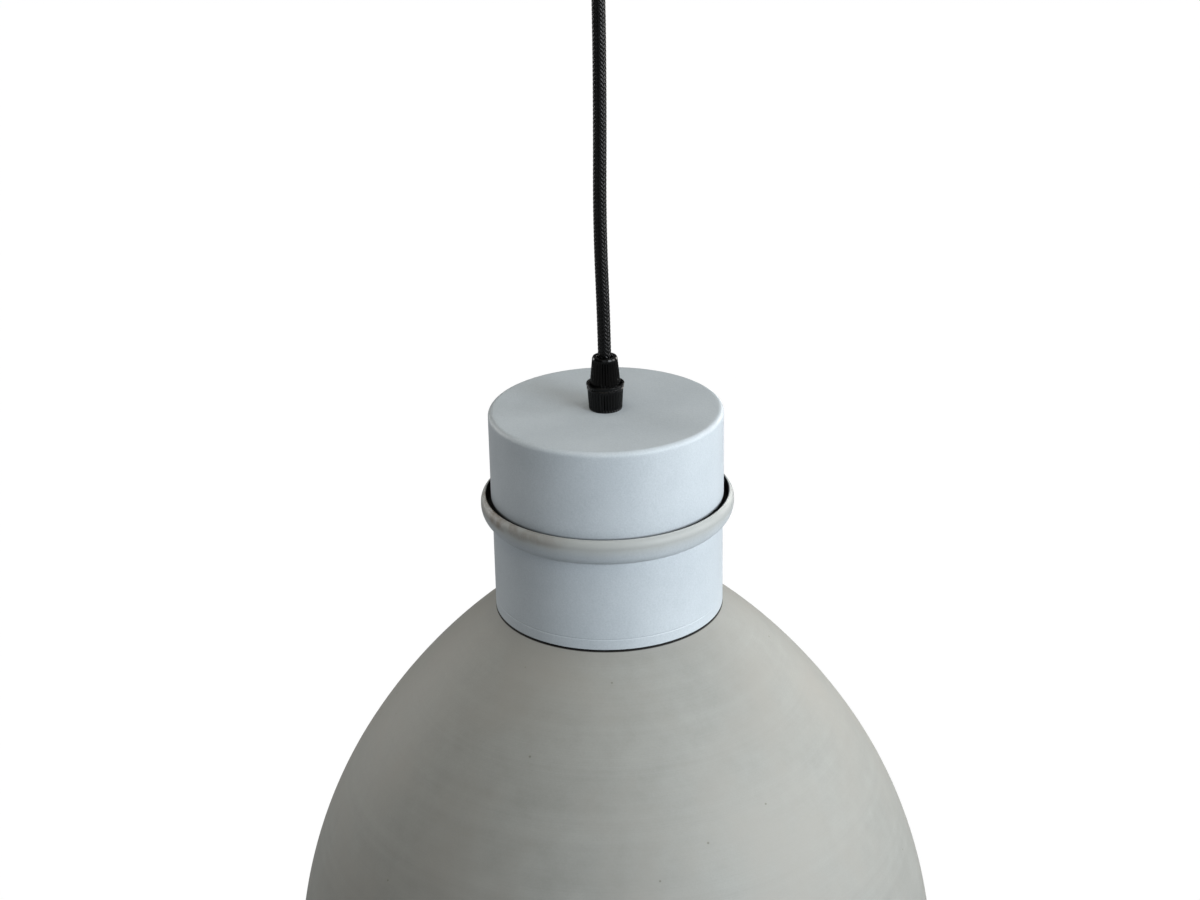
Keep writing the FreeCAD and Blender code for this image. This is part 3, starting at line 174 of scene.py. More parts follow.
def braid_crown(turn, along):
    """Height of the sleeve: 0 in its grooves, 1 on its crowns.

    Two families of strands wind both ways. Which of the two is on top changes after every two crossings, and
    the top one is round across its width and sinks towards both ends of its stretch on top."""
    rising = STRANDS * turn + along / BRAID_REPEAT
    falling = STRANDS * turn - along / BRAID_REPEAT
    crossing = (np.floor(rising) + np.floor(falling)) % 4
    rising_on_top = crossing < 2
    across = np.where(rising_on_top, rising, falling) % 1
    stretch = np.where(rising_on_top, crossing + falling % 1, crossing - 2 + rising % 1) / 2
    return np.sin(math.pi * across) ** 0.7 * (0.5 + 0.5 * np.sin(math.pi * stretch))


def braid_rings(line, dome_rows=0):
    """Rings of points of a braided sleeve along a line, with a rounded start where dome_rows are asked for.

    Each ring lies square to the line, and its radius is the cord's, less the braid's relief where it dips."""
    steps = np.linalg.norm(np.diff(line, axis=0), axis=1)
    reached = np.concatenate([[0], np.cumsum(steps)])
    rows = int(reached[-1] / MM / BRAID_ROW) + 1
    distance = np.linspace(0, reached[-1], rows)
    centre = np.stack([np.interp(distance, reached, line[:, axis]) for axis in range(3)], axis=-1)
    forward = np.gradient(centre, axis=0)
    forward /= np.linalg.norm(forward, axis=1, keepdims=True)
    right = np.array([1.0, 0, 0]) - forward[:, :1] * forward
    right /= np.linalg.norm(right, axis=1, keepdims=True)
    ahead = np.cross(forward, right)
    lean = np.linspace(DOME_START, math.pi / 2, dome_rows + 1)[:-1]
    along = np.concatenate([(lean - math.pi / 2) * CORD_RADIUS, distance / MM])[:, None]
    flat = np.concatenate([np.sin(lean), np.ones(rows)])[:, None]
    back = np.concatenate([np.cos(lean), np.zeros(rows)])[:, None]
    turn = np.arange(BRAID_COLUMNS) / BRAID_COLUMNS
    radius = (CORD_RADIUS - BRAID_RELIEF * (BRAID_INSIDE - braid_crown(turn, along))) * MM
    which = np.concatenate([np.zeros(dome_rows, int), np.arange(rows)])
    angle = 2 * math.pi * turn
    sideways = radius * flat
    return (
        centre[which][:, None]
        - (radius * back)[..., None] * forward[which][:, None]
        + (sideways * np.cos(angle))[..., None] * right[which][:, None]
        + (sideways * np.sin(angle))[..., None] * ahead[which][:, None]
    )


line = smooth_line([(0, 0, bend_point)] + CORD_ROUTE)
cord_rings = braid_rings(line, dome_rows=DOME_ROWS)
cord_piece = grid_piece("cord_braid", cord_rings, outward=1, lids=(0, -1), sharp=80)

root_low, root_high = (corner.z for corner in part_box("cord_root"))
SLEEVE_OVER_BEND = 1.45
SLEEVE_WALL = 0.16
SLEEVE_LID = 0.2
sleeve_low = bend_point + SLEEVE_OVER_BEND * MM
outer_rings = braid_rings(np.array([(0, 0, root_high), (0, 0, sleeve_low)]))
inner_rings = outer_rings[[-1, -1]].copy()
inner_rings[..., :2] *= 1 - SLEEVE_WALL / CORD_RADIUS
inner_rings[1, :, 2] = root_low + SLEEVE_LID * MM
root_piece = grid_piece("cord_root_braid", np.concatenate([outer_rings, inner_rings]), outward=1,
                        lids=(0, -1), sharp=80)

tail_low, tail_high = (corner.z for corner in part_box("cord_tail"))
tail_rings = braid_rings(np.array([(0, 0, tail_high), (0, 0, tail_low)]))
tail_piece = grid_piece("cord_tail_braid", tail_rings, outward=1, lids=(0, -1), sharp=80)


def new_finish(name, **sockets):
    """A material, its node tree and its shader.

    sockets gives the shader's plain values by the name of their socket, with _ for a space."""
    finish = bpy.data.materials.new(name)
    finish.use_nodes = True
    shader = finish.node_tree.nodes["Principled BSDF"]
    for socket, value in sockets.items():
        shader.inputs[socket.replace("_", " ").title().replace("Ior", "IOR")].default_value = value
    return finish, finish.node_tree, shader


def add(tree, kind, inputs=(), **settings):
    """Adds a node. inputs gives sockets a value or another node's output; settings are its own choices."""
    node = tree.nodes.new("ShaderNode" + kind)
    for setting, value in settings.items():
        setattr(node, setting, value)
    for socket, value in dict(inputs).items():
        if isinstance(value, bpy.types.NodeSocket):
            tree.links.new(value, node.inputs[socket])
        else:
            node.inputs[socket].default_value = value
    return node


def maths(tree, operation, first, second=0.0, third=0.0):
    """The result of a sum on one, two or three values."""
    return add(tree, "Math", {0: first, 1: second, 2: third}, operation=operation).outputs[0]


def between(tree, value, low, high, to_low, to_high):
    """The value, moved from low..high to to_low..to_high and held inside it."""
    inputs = {"Value": value, "From Min": low, "From Max": high, "To Min": to_low, "To Max": to_high}
    return add(tree, "MapRange", inputs).outputs["Result"]


def mixed_colour(tree, share, first, second):
    """Two colours mixed: all first at share 0, all second at 1."""
    node = add(tree, "Mix", {"Factor": share}, data_type="RGBA")
    for socket, colour in (("A", first), ("B", second)):
        place = next(item for item in node.inputs if item.name == socket and item.type == "RGBA")
        if isinstance(colour, bpy.types.NodeSocket):
            tree.links.new(colour, place)
        else:
            place.default_value = (*colour, 1)
    return next(item for item in node.outputs if item.type == "RGBA")


def use(tree, shader, **outputs):
    """Joins outputs to the shader's sockets."""
    for socket, output in outputs.items():
        tree.links.new(output, shader.inputs[socket.replace("_", " ").title()])


def raised(tree, height, depth):
    """A normal that follows the height, over depth in metres."""
    return add(tree, "Bump", {"Height": height, "Distance": depth, "Strength": 1.0}).outputs["Normal"]


def braid_finish():
    """Black polyester yarn: four threads in a strand, with painted shade darkening the grooves and a painted
    sheen on the crowns.
    """
    finish, tree, shader = new_finish("black_braid", Specular_IOR_Level=0.21)
    wrap = add(tree, "SeparateXYZ", {0: add(tree, "UVMap", uv_map="wrap").outputs[0]})
    turn = maths(tree, "MULTIPLY", wrap.outputs["X"], STRANDS)
    climb = maths(tree, "DIVIDE", wrap.outputs["Y"], BRAID_REPEAT)
    rising = maths(tree, "ADD", turn, climb)
    falling = maths(tree, "SUBTRACT", turn, climb)
    crossing = maths(tree, "ADD", maths(tree, "FLOOR", rising), maths(tree, "FLOOR", falling))
    rising_on_top = maths(tree, "LESS_THAN", maths(tree, "FLOORED_MODULO", crossing, 4.0), 2.0)
    blend = add(tree, "Mix", {"Factor": rising_on_top, "A": falling, "B": rising}).outputs["Result"]
    threads = maths(tree, "PINGPONG", maths(tree, "MULTIPLY", blend, THREADS), 0.5)
    crown = maths(tree, "PINGPONG", blend, 0.5)
    fuzz = add(tree, "TexNoise", {"Vector": add(tree, "TexCoord").outputs["Object"], "Scale": 9000.0,
                                  "Detail": 2.0}).outputs["Fac"]
    # Painted shade and sheen: the colour is darker in the grooves and lighter on the crowns.
    shade = maths(tree, "MULTIPLY_ADD", threads, 0.9, maths(tree, "MULTIPLY", crown, 1.2))
    colour = mixed_colour(tree, between(tree, shade, 0.1, 1.0, 0.0, 1.0), (0.0002, 0.0002, 0.0002),
                          (0.003, 0.003, 0.0032))
    height = maths(tree, "MULTIPLY_ADD", fuzz, 0.25, threads)
    use(tree, shader, Base_Color=colour, Roughness=between(tree, fuzz, 0.3, 0.7, 0.19, 0.27),
        Normal=raised(tree, height, 0.00004))
    return finish


black_braid = braid_finish()
for piece, body, nodes in [
    (cord_piece, None, ("cord", "cord_bend")),
    (root_piece, "cord_twist_piece", ("cord_root",)),
    (tail_piece, "ceiling", ("cord_tail",)),
]:
    piece.data.materials.append(black_braid)
    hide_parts(*nodes)
    if body:
        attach(piece, body)

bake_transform(cord_piece)


# ---------------------------------------------------------------- ceiling bracket and terminal block
# A zinc-plated strap, screwed to the ceiling through two slots, carries a moulded white terminal block with
# six clamp screws, two screws that hold it up, and the earth screw. Two M3 screws hold the cup on its ears.

SPECKLE_SHARE = 0.35


def grain_group():
    """Speckle and cloud: two noises in object space, one fine and one broad, each from 0 to 1."""
    group = bpy.data.node_groups.new("grain", "ShaderNodeTree")
    for name, kind in (("Place", "NodeSocketVector"), ("Speckle Size", "NodeSocketFloat"),
                       ("Cloud Size", "NodeSocketFloat")):
        group.interface.new_socket(name, in_out="INPUT", socket_type=kind)
    for name in ("Speckle", "Cloud"):
        group.interface.new_socket(name, in_out="OUTPUT", socket_type="NodeSocketFloat")
    given = group.nodes.new("NodeGroupInput")
    result = group.nodes.new("NodeGroupOutput")
    for name in ("Speckle", "Cloud"):
        scale = maths(group, "DIVIDE", 1.0, given.outputs[name + " Size"])
        noise = add(group, "TexNoise", {"Vector": given.outputs["Place"], "Scale": scale, "Detail": 3.0,
                                        "Roughness": 0.6})
        steep = between(group, noise.outputs["Fac"], 0.3, 0.7, 0.0, 1.0)
        group.links.new(steep, result.inputs[name])
    return group


grain = grain_group()


def grained(tree, speckle_size, cloud_size):
    """The grain group, placed in a material with its two sizes in metres."""
    node = tree.nodes.new("ShaderNodeGroup")
    node.node_tree = grain
    tree.links.new(add(tree, "TexCoord").outputs["Object"], node.inputs["Place"])
    node.inputs["Speckle Size"].default_value = speckle_size
    node.inputs["Cloud Size"].default_value = cloud_size
    return node.outputs["Speckle"], node.outputs["Cloud"]


def grained_finish(name, dark, light, speckle_size, cloud_size, rough, depth, **sockets):
    """A plain material: speckle and cloud in its colour and roughness, and the speckle raised by depth."""
    finish, tree, shader = new_finish(name, **sockets)
    speckle, cloud = grained(tree, speckle_size, cloud_size)
    clouded = maths(tree, "MULTIPLY", cloud, 1 - SPECKLE_SHARE)
    share = maths(tree, "MULTIPLY_ADD", speckle, SPECKLE_SHARE, clouded)
    use(tree, shader, Base_Color=mixed_colour(tree, share, dark, light),
        Roughness=between(tree, share, 0.0, 1.0, rough[0], rough[1]),
        Normal=raised(tree, speckle, depth))
    return finish


def dress(finish, *names):
    """Gives CAD nodes a material."""
    for name in names:
        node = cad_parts[name]
        if not node.material_slots:
            node.data.materials.append(finish)
        for place in node.material_slots:
            place.material = finish


zinc_steel = grained_finish("zinc_steel", (0.27, 0.28, 0.29), (0.42, 0.42, 0.40), 0.0006, 0.006, (0.36, 0.52),
                            0.00002, Metallic=1.0)
white_plastic = grained_finish("white_plastic", (0.74, 0.74, 0.71), (0.82, 0.82, 0.80), 0.0004, 0.005,
                               (0.38, 0.5), 0.00002, Specular_IOR_Level=0.45)
dress(zinc_steel, "ceiling_bracket", "ceiling_cup_screws", "terminal_screws", "block_screws",
      "bracket_earth_screw")
dress(white_plastic, "terminal_block")


# ---------------------------------------------------------------- wiring
# Stranded copper cores in smooth insulation: brown, blue, and green with a yellow stripe. They run from the
# cord's end to the terminal block, and through the threaded tube to the lampholder's screws.

STRIPE_LEAN = 0.35
STRIPES_PER_METRE = 420


def stripe_finish():
    """Green insulation with a yellow stripe that winds slowly around it."""
    finish, tree, shader = new_finish("earth_core", Roughness=0.32)
    place = add(tree, "SeparateXYZ", {0: add(tree, "TexCoord").outputs["Object"]})
    slant = maths(tree, "MULTIPLY_ADD", place.outputs["Z"], STRIPE_LEAN, place.outputs["X"])
    stripe = maths(tree, "PINGPONG", maths(tree, "MULTIPLY", slant, STRIPES_PER_METRE), 0.5)
    share = between(tree, stripe, 0.22, 0.28, 0.0, 1.0)
    speckle, cloud = grained(tree, 0.0005, 0.004)
    use(tree, shader, Base_Color=mixed_colour(tree, share, (0.62, 0.52, 0.02), (0.03, 0.20, 0.04)),
        Roughness=between(tree, cloud, 0.0, 1.0, 0.28, 0.38), Normal=raised(tree, speckle, 0.00001))
    return finish


for colour, finish in [
    ("live", grained_finish("brown_core", (0.060, 0.022, 0.010), (0.085, 0.033, 0.016), 0.0005, 0.004,
                            (0.28, 0.38), 0.00001)),
    ("neutral", grained_finish("blue_core", (0.010, 0.050, 0.24), (0.016, 0.075, 0.31), 0.0005, 0.004,
                               (0.28, 0.38), 0.00001)),
    ("earth", stripe_finish()),
]:
    dress(finish, "ceiling_core_" + colour, "lamp_core_" + colour)
    if colour == "earth":
        dress(finish, "ceiling_earth_link")


# ---------------------------------------------------------------- ceiling cup
# A pressed steel cup, open against the ceiling, powder coated like the lamp's cup: a fine pale blue-grey coat
# with a slight speckle. Its flat floor holds the ceiling grip in a central hole.

ROSE_RADIUS = 50
ROSE_HEIGHT = 38
ROSE_CORNER = 2.5
CUP_WALL = 1.2
TUBE_HOLE = 5.1
EDGE = 0.35


def arc_points(start, end, radius, side, steps):
    """Points from start up to, not with, end on an arc, its centre left of the way there when side is 1."""
    start = np.array(start, float)
    end = np.array(end, float)
    chord = end - start
    length = np.linalg.norm(chord)
    across = np.array([-chord[1], chord[0]]) / length
    centre = (start + end) / 2 + across * side * math.sqrt(radius ** 2 - length ** 2 / 4)
    first = math.atan2(*(start - centre)[::-1])
    sweep = side * 2 * math.asin(length / 2 / radius)
    angle = first + sweep * np.arange(steps) / steps
    return [(centre[0] + radius * math.cos(turn), centre[1] + radius * math.sin(turn)) for turn in angle]


def rounded(corners, steps=5):
    """Closed outline. A corner (radius, height) stays sharp, and one with a third number is rounded by it.

    A rounding is an arc tangent to both sides, with a short straight lead before and after it."""
    outline = []
    for before, corner, after in zip(corners[-1:] + corners[:-1], corners, corners[1:] + corners[:1]):
        here = np.array(corner[:2], float)
        if len(corner) == 2:
            outline.append(tuple(here))
            continue
        come = here - np.array(before[:2], float)
        go = np.array(after[:2], float) - here
        come /= np.linalg.norm(come)
        go /= np.linalg.norm(go)
        cross = come[0] * go[1] - come[1] * go[0]
        turn = math.atan2(cross, come @ go)
        trim = corner[2] * math.tan(abs(turn) / 2)
        lead = corner[2] * 0.35
        start = here - come * trim
        outline.append(tuple(start - come * lead))
        outline += arc_points(start, here + go * trim, corner[2], math.copysign(1, turn), steps)
        outline.append(tuple(here + go * trim))
        outline.append(tuple(here + go * (trim + lead)))
    return outline


def turned(name, outline, base, facing=1, columns=192, relief=None, longest=None):
    """A solid of revolution: the closed outline of (radius, height), in mm, carried round the Z axis.

    Heights count from base, a Z in metres, upwards, or downwards where facing is -1. relief gives what is
    added to the radius at a share of the turn and a height. longest is the longest step along the outline."""
    profile = np.array(outline, float)
    if longest:
        pieces = []
        for here, there in zip(profile, np.roll(profile, -1, axis=0)):
            parts = max(1, math.ceil(np.linalg.norm(there - here) / longest))
            pieces.append(here + (there - here) * (np.arange(parts) / parts)[:, None])
        profile = np.concatenate(pieces)
    radius, height = profile[:, :1], profile[:, 1:]
    area = np.sum(radius * np.roll(height, -1, axis=0) - np.roll(radius, -1, axis=0) * height)
    turn = np.arange(columns) / columns
    reach = np.repeat(radius, columns, axis=1)
    if relief:
        reach = reach + relief(turn, height, radius)
    angle = 2 * math.pi * turn
    level = np.repeat(height * facing, columns, axis=1)
    points = np.stack([reach * np.cos(angle), reach * np.sin(angle), level], axis=-1) * MM
    points[..., 2] += base
    return grid_piece(name, points, outward=math.copysign(1, area) * facing, closed=True)


def put(piece, finish, body, slot, *nodes):
    """Finishes a piece: its material, the body it rides on, and the CAD nodes it stands for. slot is not used.
    """
    piece.data.materials.append(finish)
    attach(piece, body)
    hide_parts(*nodes)


def paint_finish(name, recolour=None):
    """Fine powder coat: a tight orange-peel speckle in colour and relief, with the faintest clouding.

    recolour, where given, changes the coat's colour: painted shade in the gutter, and on the ring also a
    painted warm reflection and a brown patch."""
    finish, tree, shader = new_finish(name, Specular_IOR_Level=0.32)
    speckle, cloud = grained(tree, 0.0007, 0.03)
    peel, _ = grained(tree, 0.0016, 0.03)
    share = maths(tree, "MULTIPLY_ADD", speckle, 0.6, maths(tree, "MULTIPLY", cloud, 0.4))
    height = maths(tree, "MULTIPLY_ADD", speckle, 0.5, peel)
    coat = mixed_colour(tree, share, (0.386, 0.432, 0.466), (0.491, 0.541, 0.575))
    use(tree, shader, Base_Color=recolour(tree, coat) if recolour else coat,
        Roughness=between(tree, speckle, 0.0, 1.0, 0.42, 0.52), Normal=raised(tree, height, 0.000025))
    return finish


def cup_outline(radius, height, corner):
    """A cup with its flat end at height 0 and its open end at -height."""
    inside = radius - CUP_WALL
    return rounded([
        (TUBE_HOLE, 0),
        (radius, 0, corner),
        (radius, -height, EDGE),
        (inside, -height, EDGE),
        (inside, -CUP_WALL, corner - CUP_WALL),
        (TUBE_HOLE, -CUP_WALL),
    ], steps=8)


blue_grey_paint = paint_finish("blue_grey_paint")
rose_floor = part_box("ceiling_cup")[0].z
rose_outline = cup_outline(ROSE_RADIUS, ROSE_HEIGHT, ROSE_CORNER)
rose = turned("ceiling_cup_pressing", rose_outline, rose_floor, facing=-1, columns=256)
put(rose, blue_grey_paint, "ceiling", "blue_grey_paint", "ceiling_cup")


# ---------------------------------------------------------------- cord grips
# Two equal moulded grips in black plastic. A ribbed body, dished on top inside a raised lip, screws down on
# the threaded tube; a ribbed cone of a nut turns down into the dish and closes nylon jaws on the cord.

BODY_RIBS = 36
NUT_RIBS = 30
RIB_DEPTH = 0.42
RIB_SHARPNESS = 1.6
RIB_FADE = 0.25
TOOTH_SHARE = 0.7
SPIGOT_RADIUS = 5.2
SPIGOT_TOP = 19
CORD_HOLE = 2.95
THREAD_HOLE = 5.05
THREAD_ENTRY = 8

BODY_OUTLINE = rounded([
    (THREAD_HOLE, 0),
    (7.2, 0, 0.3),
    (7.78, 9.25),
    (8.02, 9.5, 0.1),
    (8.02, 9.85, 0.1),
    (7.84, 10.05),
    (7.86, 10.85),
    (8.25, 11.05, 0.12),
    (8.25, 11.8, 0.22),
    (7.45, 11.8, 0.15),
    (7.05, 10.4, 0.15),
    (SPIGOT_RADIUS, 10.4),
    (SPIGOT_RADIUS, SPIGOT_TOP),
    (CORD_HOLE, SPIGOT_TOP),
    (CORD_HOLE, THREAD_ENTRY),
    (THREAD_HOLE, THREAD_ENTRY),
])
NUT_OUTLINE = rounded([
    (SPIGOT_RADIUS + 0.05, 10.75),
    (6.7, 10.75, 0.2),
    (5.5, 23.0, 0.25),
    (5.1, 23.85, 0.2),
    (3.5, 23.85, 0.3),
    (3.5, 22.9),
    (SPIGOT_RADIUS + 0.05, 19.4),
])


def ribs(count, low, high, inner):
    """Rounded grooves along a side, as a relief from low to high on radii over inner, fading at its ends."""
    def relief(turn, height, radius):
        groove = (0.5 - 0.5 * np.cos(2 * math.pi * count * turn)) ** RIB_SHARPNESS
        ends = np.clip((height - low) / RIB_FADE, 0, 1) * np.clip((high - height) / RIB_FADE, 0, 1)
        return -RIB_DEPTH * groove * ends * (radius > inner)
    return relief


def body_relief(turn, height, radius):
    """Ribs on the body's side, and short teeth in the groove under its lip."""
    side = ribs(BODY_RIBS, 0.5, 9.2, 6)(turn, height, radius)
    teeth = ribs(BODY_RIBS, 10.0, 10.95, 7.5)(turn, height, radius)
    return side + teeth * TOOTH_SHARE


black_plastic = grained_finish("black_plastic", (0.0008, 0.0008, 0.0008), (0.002, 0.002, 0.002), 0.0003,
                               0.004, (0.11, 0.17), 0.000006, Specular_IOR_Level=0.16)
nylon_jaws = grained_finish("nylon_jaws", (0.02, 0.02, 0.02), (0.035, 0.035, 0.035), 0.0003, 0.004,
                            (0.4, 0.5), 0.000012)
for place, body, nut_body, facing in [
    ("ceiling", "ceiling", "ceiling_nut", -1),
    ("lamp", "lamp", "lamp_nut", 1),
]:
    low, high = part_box(place + "_grip_base")
    foot = low.z if facing > 0 else high.z
    body_piece = turned(place + "_grip_moulding", BODY_OUTLINE, foot, facing, columns=BODY_RIBS * 8,
                        relief=body_relief, longest=0.6)
    put(body_piece, black_plastic, body, "black_plastic", place + "_grip_base")
    nut_piece = turned(place + "_nut_moulding", NUT_OUTLINE, foot, facing, columns=NUT_RIBS * 8,
                       relief=ribs(NUT_RIBS, 10.95, 22.5, 5.3), longest=0.6)
    put(nut_piece, black_plastic, nut_body, "black_plastic", place + "_grip_nut")
    dress(nylon_jaws, place + "_grip_jaws")

dress(zinc_steel, "ceiling_tube", "ceiling_washer", "ceiling_locknut", "lamp_tube", "lamp_washer",
      "lamp_locknut", "holder_locknut")


# ---------------------------------------------------------------- lamp cup
# A pressed cup, 102 mm across, with a flat top and a small round at its edge. It stands with its open rim in
# the ring's gutter, over the neck's spigot, and has the same fine blue-grey coat as the ceiling cup.

CUP_RADIUS = 51.1
CUP_HEIGHT = 45
CUP_CORNER = 2.2

# Painted shade: the cup's coat is made black below the ring's lip, standing in for the shadow in the gap; the
# ring and the shade use the same black for painted shade.
PAINTED_SHADE_BLACK = (0.006, 0.006, 0.006)
GUTTER_EDGE = 0.2
GUTTER_DARK = 1.6
ring_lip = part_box("neck_ring")[1].z


def gutter_painted_shade(tree, coat):
    """The coat, with painted shade: black where the cup stands below the ring's lip."""
    place = add(tree, "SeparateXYZ", {0: add(tree, "TexCoord").outputs["Object"]})
    depth = between(tree, place.outputs["Z"], ring_lip - GUTTER_DARK * MM, ring_lip - GUTTER_EDGE * MM,
                    0.95, 0.0)
    return mixed_colour(tree, depth, coat, PAINTED_SHADE_BLACK)


cup = turned("lamp_cup_pressing", cup_outline(CUP_RADIUS, CUP_HEIGHT, CUP_CORNER), lamp_top, columns=288)
put(cup, paint_finish("cup_paint", gutter_painted_shade), "lamp", "blue_grey_paint", "lamp_cup")


# ---------------------------------------------------------------- ring and neck
# The neck is a turned sleeve with a spigot up into the cup and a hem at its foot. The ring is rolled sheet: a
# bead outside, a thin lip around the cup, and a gutter inside that takes the cup's rim.

GUTTER_FLOOR = CUP_HEIGHT
SHOULDER = CUP_HEIGHT + CUP_WALL
RING_HOLE = 49.1
RING_SLEEVE = 50.75
RING_FOOT = (51.55, -50.4)
RING_WIDEST = (55.6, -42.3)
BEAD_CURVE = 9
LIP_CURVE = 4.5
LIP_TOP = -38.3
LIP_OUTSIDE = 54.05
LIP_INSIDE = 53.35
LIP_ROUND = 0.34
LIP_SIDE = LIP_TOP - LIP_ROUND
LIP_EASE = 0.011
NECK_RADIUS = 50.65
NECK_SPIGOT = 49
NECK_SPIGOT_TOP = -37.2
NECK_FOOT = -92.5
HEM_LINE = -86.65
HEM_LINE_WIDTH = 0.45
HEM_LINE_DEPTH = 0.14
FOOT_GAP = 0.6
FOOT_INSIDE_RISE = 0.958
RAGGED_SCALE = 140
RAGGED_HEIGHT = 1.6
# The bead's upper half gets a painted warm reflection, fading in between the next two heights under the lip.
REFLECTION_FROM = 8
REFLECTION_FULL = 3
PAINTED_WARM_REFLECTION = (0.318, 0.332, 0.322)
# A brown patch on the front left of the bead's upper side lies between the next two heights under the lip.
MARK_FROM = 4.6
MARK_FULL = 2.4
MARK_BROWN = (0.150, 0.124, 0.098)

lip = arc_points((LIP_OUTSIDE, LIP_SIDE), (LIP_INSIDE, LIP_SIDE), LIP_ROUND + LIP_EASE, 1, 8)
ring_outline = rounded([
    (RING_HOLE, -SHOULDER),
    (RING_SLEEVE, -SHOULDER),
    (RING_SLEEVE, RING_FOOT[1]),
])
ring_outline += arc_points(RING_FOOT, RING_WIDEST, BEAD_CURVE, 1, 20)
ring_outline += arc_points(RING_WIDEST, (LIP_OUTSIDE, LIP_SIDE), LIP_CURVE, 1, 12)
ring_outline += lip
ring_outline += [
    (LIP_INSIDE, LIP_SIDE),
    (LIP_INSIDE, LIP_SIDE - 0.2),
    (LIP_INSIDE, -GUTTER_FLOOR),
    (RING_HOLE, -GUTTER_FLOOR),
]


def bead_reflection_patch_and_shade(tree, coat):
    """The coat, with a painted warm reflection over the bead's upper half, a brown patch on its front left,
    and painted shade, black, in the gutter.
    """
    place = add(tree, "TexCoord").outputs["Object"]
    parts = add(tree, "SeparateXYZ", {0: place})
    flat = add(tree, "CombineXYZ", {"X": parts.outputs["X"], "Y": parts.outputs["Y"]}).outputs[0]
    radius = add(tree, "VectorMath", {0: flat}, operation="LENGTH").outputs["Value"]
    ragged = add(tree, "TexNoise", {"Vector": place, "Scale": RAGGED_SCALE, "Detail": 3.0}).outputs["Fac"]
    height = maths(tree, "MULTIPLY_ADD", ragged, RAGGED_HEIGHT * MM, parts.outputs["Z"])
    reflection_share = between(tree, height, ring_lip - REFLECTION_FROM * MM, ring_lip - REFLECTION_FULL * MM, 0.0, 0.9)
    # Painted warm reflection over the bead's upper half.
    warm = mixed_colour(tree, reflection_share, coat, PAINTED_WARM_REFLECTION)
    side = between(tree, parts.outputs["X"], -0.050, -0.012, 1.0, 0.0)
    edge = between(tree, parts.outputs["X"], -0.056, -0.051, 0.15, 1.0)
    top = between(tree, height, ring_lip - MARK_FROM * MM, ring_lip - MARK_FULL * MM, 0.0, 1.0)
    front = maths(tree, "LESS_THAN", parts.outputs["Y"], 0.0)
    blot = between(tree, ragged, 0.38, 0.6, 0.25, 1.0)
    mark = maths(tree, "MULTIPLY", maths(tree, "MULTIPLY", side, edge), maths(tree, "MULTIPLY", top, front))
    with_patch = mixed_colour(tree, maths(tree, "MULTIPLY", mark, blot), warm, MARK_BROWN)
    # Painted shade: black inside the gutter.
    inside = between(tree, radius, (LIP_INSIDE + 0.05) * MM, (LIP_INSIDE + 0.25) * MM, 1.0, 0.0)
    above = maths(tree, "GREATER_THAN", parts.outputs["Z"], lamp_top - (SHOULDER + 0.5) * MM)
    return mixed_colour(tree, maths(tree, "MULTIPLY", inside, above), with_patch, PAINTED_SHADE_BLACK)


ring = turned("rolled_ring", ring_outline, lamp_top, columns=288)
put(ring, paint_finish("ring_paint", bead_reflection_patch_and_shade), "lamp", "blue_grey_paint", "neck_ring")

neck_inside = NECK_RADIUS - CUP_WALL
neck = turned("neck_sleeve", rounded([
    (NECK_SPIGOT - CUP_WALL, NECK_SPIGOT_TOP),
    (NECK_SPIGOT, NECK_SPIGOT_TOP),
    (NECK_SPIGOT, -SHOULDER),
    (NECK_RADIUS, -SHOULDER),
    (NECK_RADIUS, HEM_LINE + HEM_LINE_WIDTH, 0.4),
    (NECK_RADIUS - HEM_LINE_DEPTH, HEM_LINE, 0.2),
    (NECK_RADIUS, HEM_LINE - HEM_LINE_WIDTH, 0.4),
    (NECK_RADIUS, NECK_FOOT + FOOT_GAP, 0.3),
    (neck_inside, NECK_FOOT + FOOT_GAP + FOOT_INSIDE_RISE),
    (neck_inside, -SHOULDER - CUP_WALL),
    (NECK_SPIGOT - CUP_WALL, -SHOULDER - CUP_WALL),
]), lamp_top, columns=288)
put(neck, blue_grey_paint, "lamp", "blue_grey_paint", "neck")


# ---------------------------------------------------------------- shade
# The shade is spun from sheet metal: a flat for the lampholder, a cone under the neck, then two tangent
# curves out to an upright rim, hemmed inwards. It is warm grey, with fine rings left by the spinning tool.

SHADE_HOLE = 20
SHADE_FLAT_RADIUS = 36
SHADE_RADIUS = 150
SHADE_HEIGHT = 194
SHADE_WALL = 1
TOP_SLOPE = math.radians(38.6)
MID_SLOPE = math.radians(58.2)
RIM_BAND = 5
RIM_HEM = 2.4
RIM_ROUND = 1.1

first_out = math.sin(MID_SLOPE) - math.sin(TOP_SLOPE)
first_down = math.cos(TOP_SLOPE) - math.cos(MID_SLOPE)
second_out = 1 - math.sin(MID_SLOPE)
second_down = math.cos(MID_SLOPE)
shade_out = SHADE_RADIUS - NECK_RADIUS
both_curves = first_out * second_down - second_out * first_down
UPPER_CURVE = (second_down * shade_out - second_out * SHADE_HEIGHT) / both_curves
LOWER_CURVE = (first_out * SHADE_HEIGHT - first_down * shade_out) / both_curves
SHADE_RISE = (NECK_RADIUS - SHADE_FLAT_RADIUS) * math.tan(TOP_SLOPE)
CONE_LENGTH = (NECK_RADIUS - SHADE_FLAT_RADIUS) / math.cos(TOP_SLOPE)
TO_NECK = SHADE_WALL + SHADE_FLAT_RADIUS - SHADE_HOLE + CONE_LENGTH


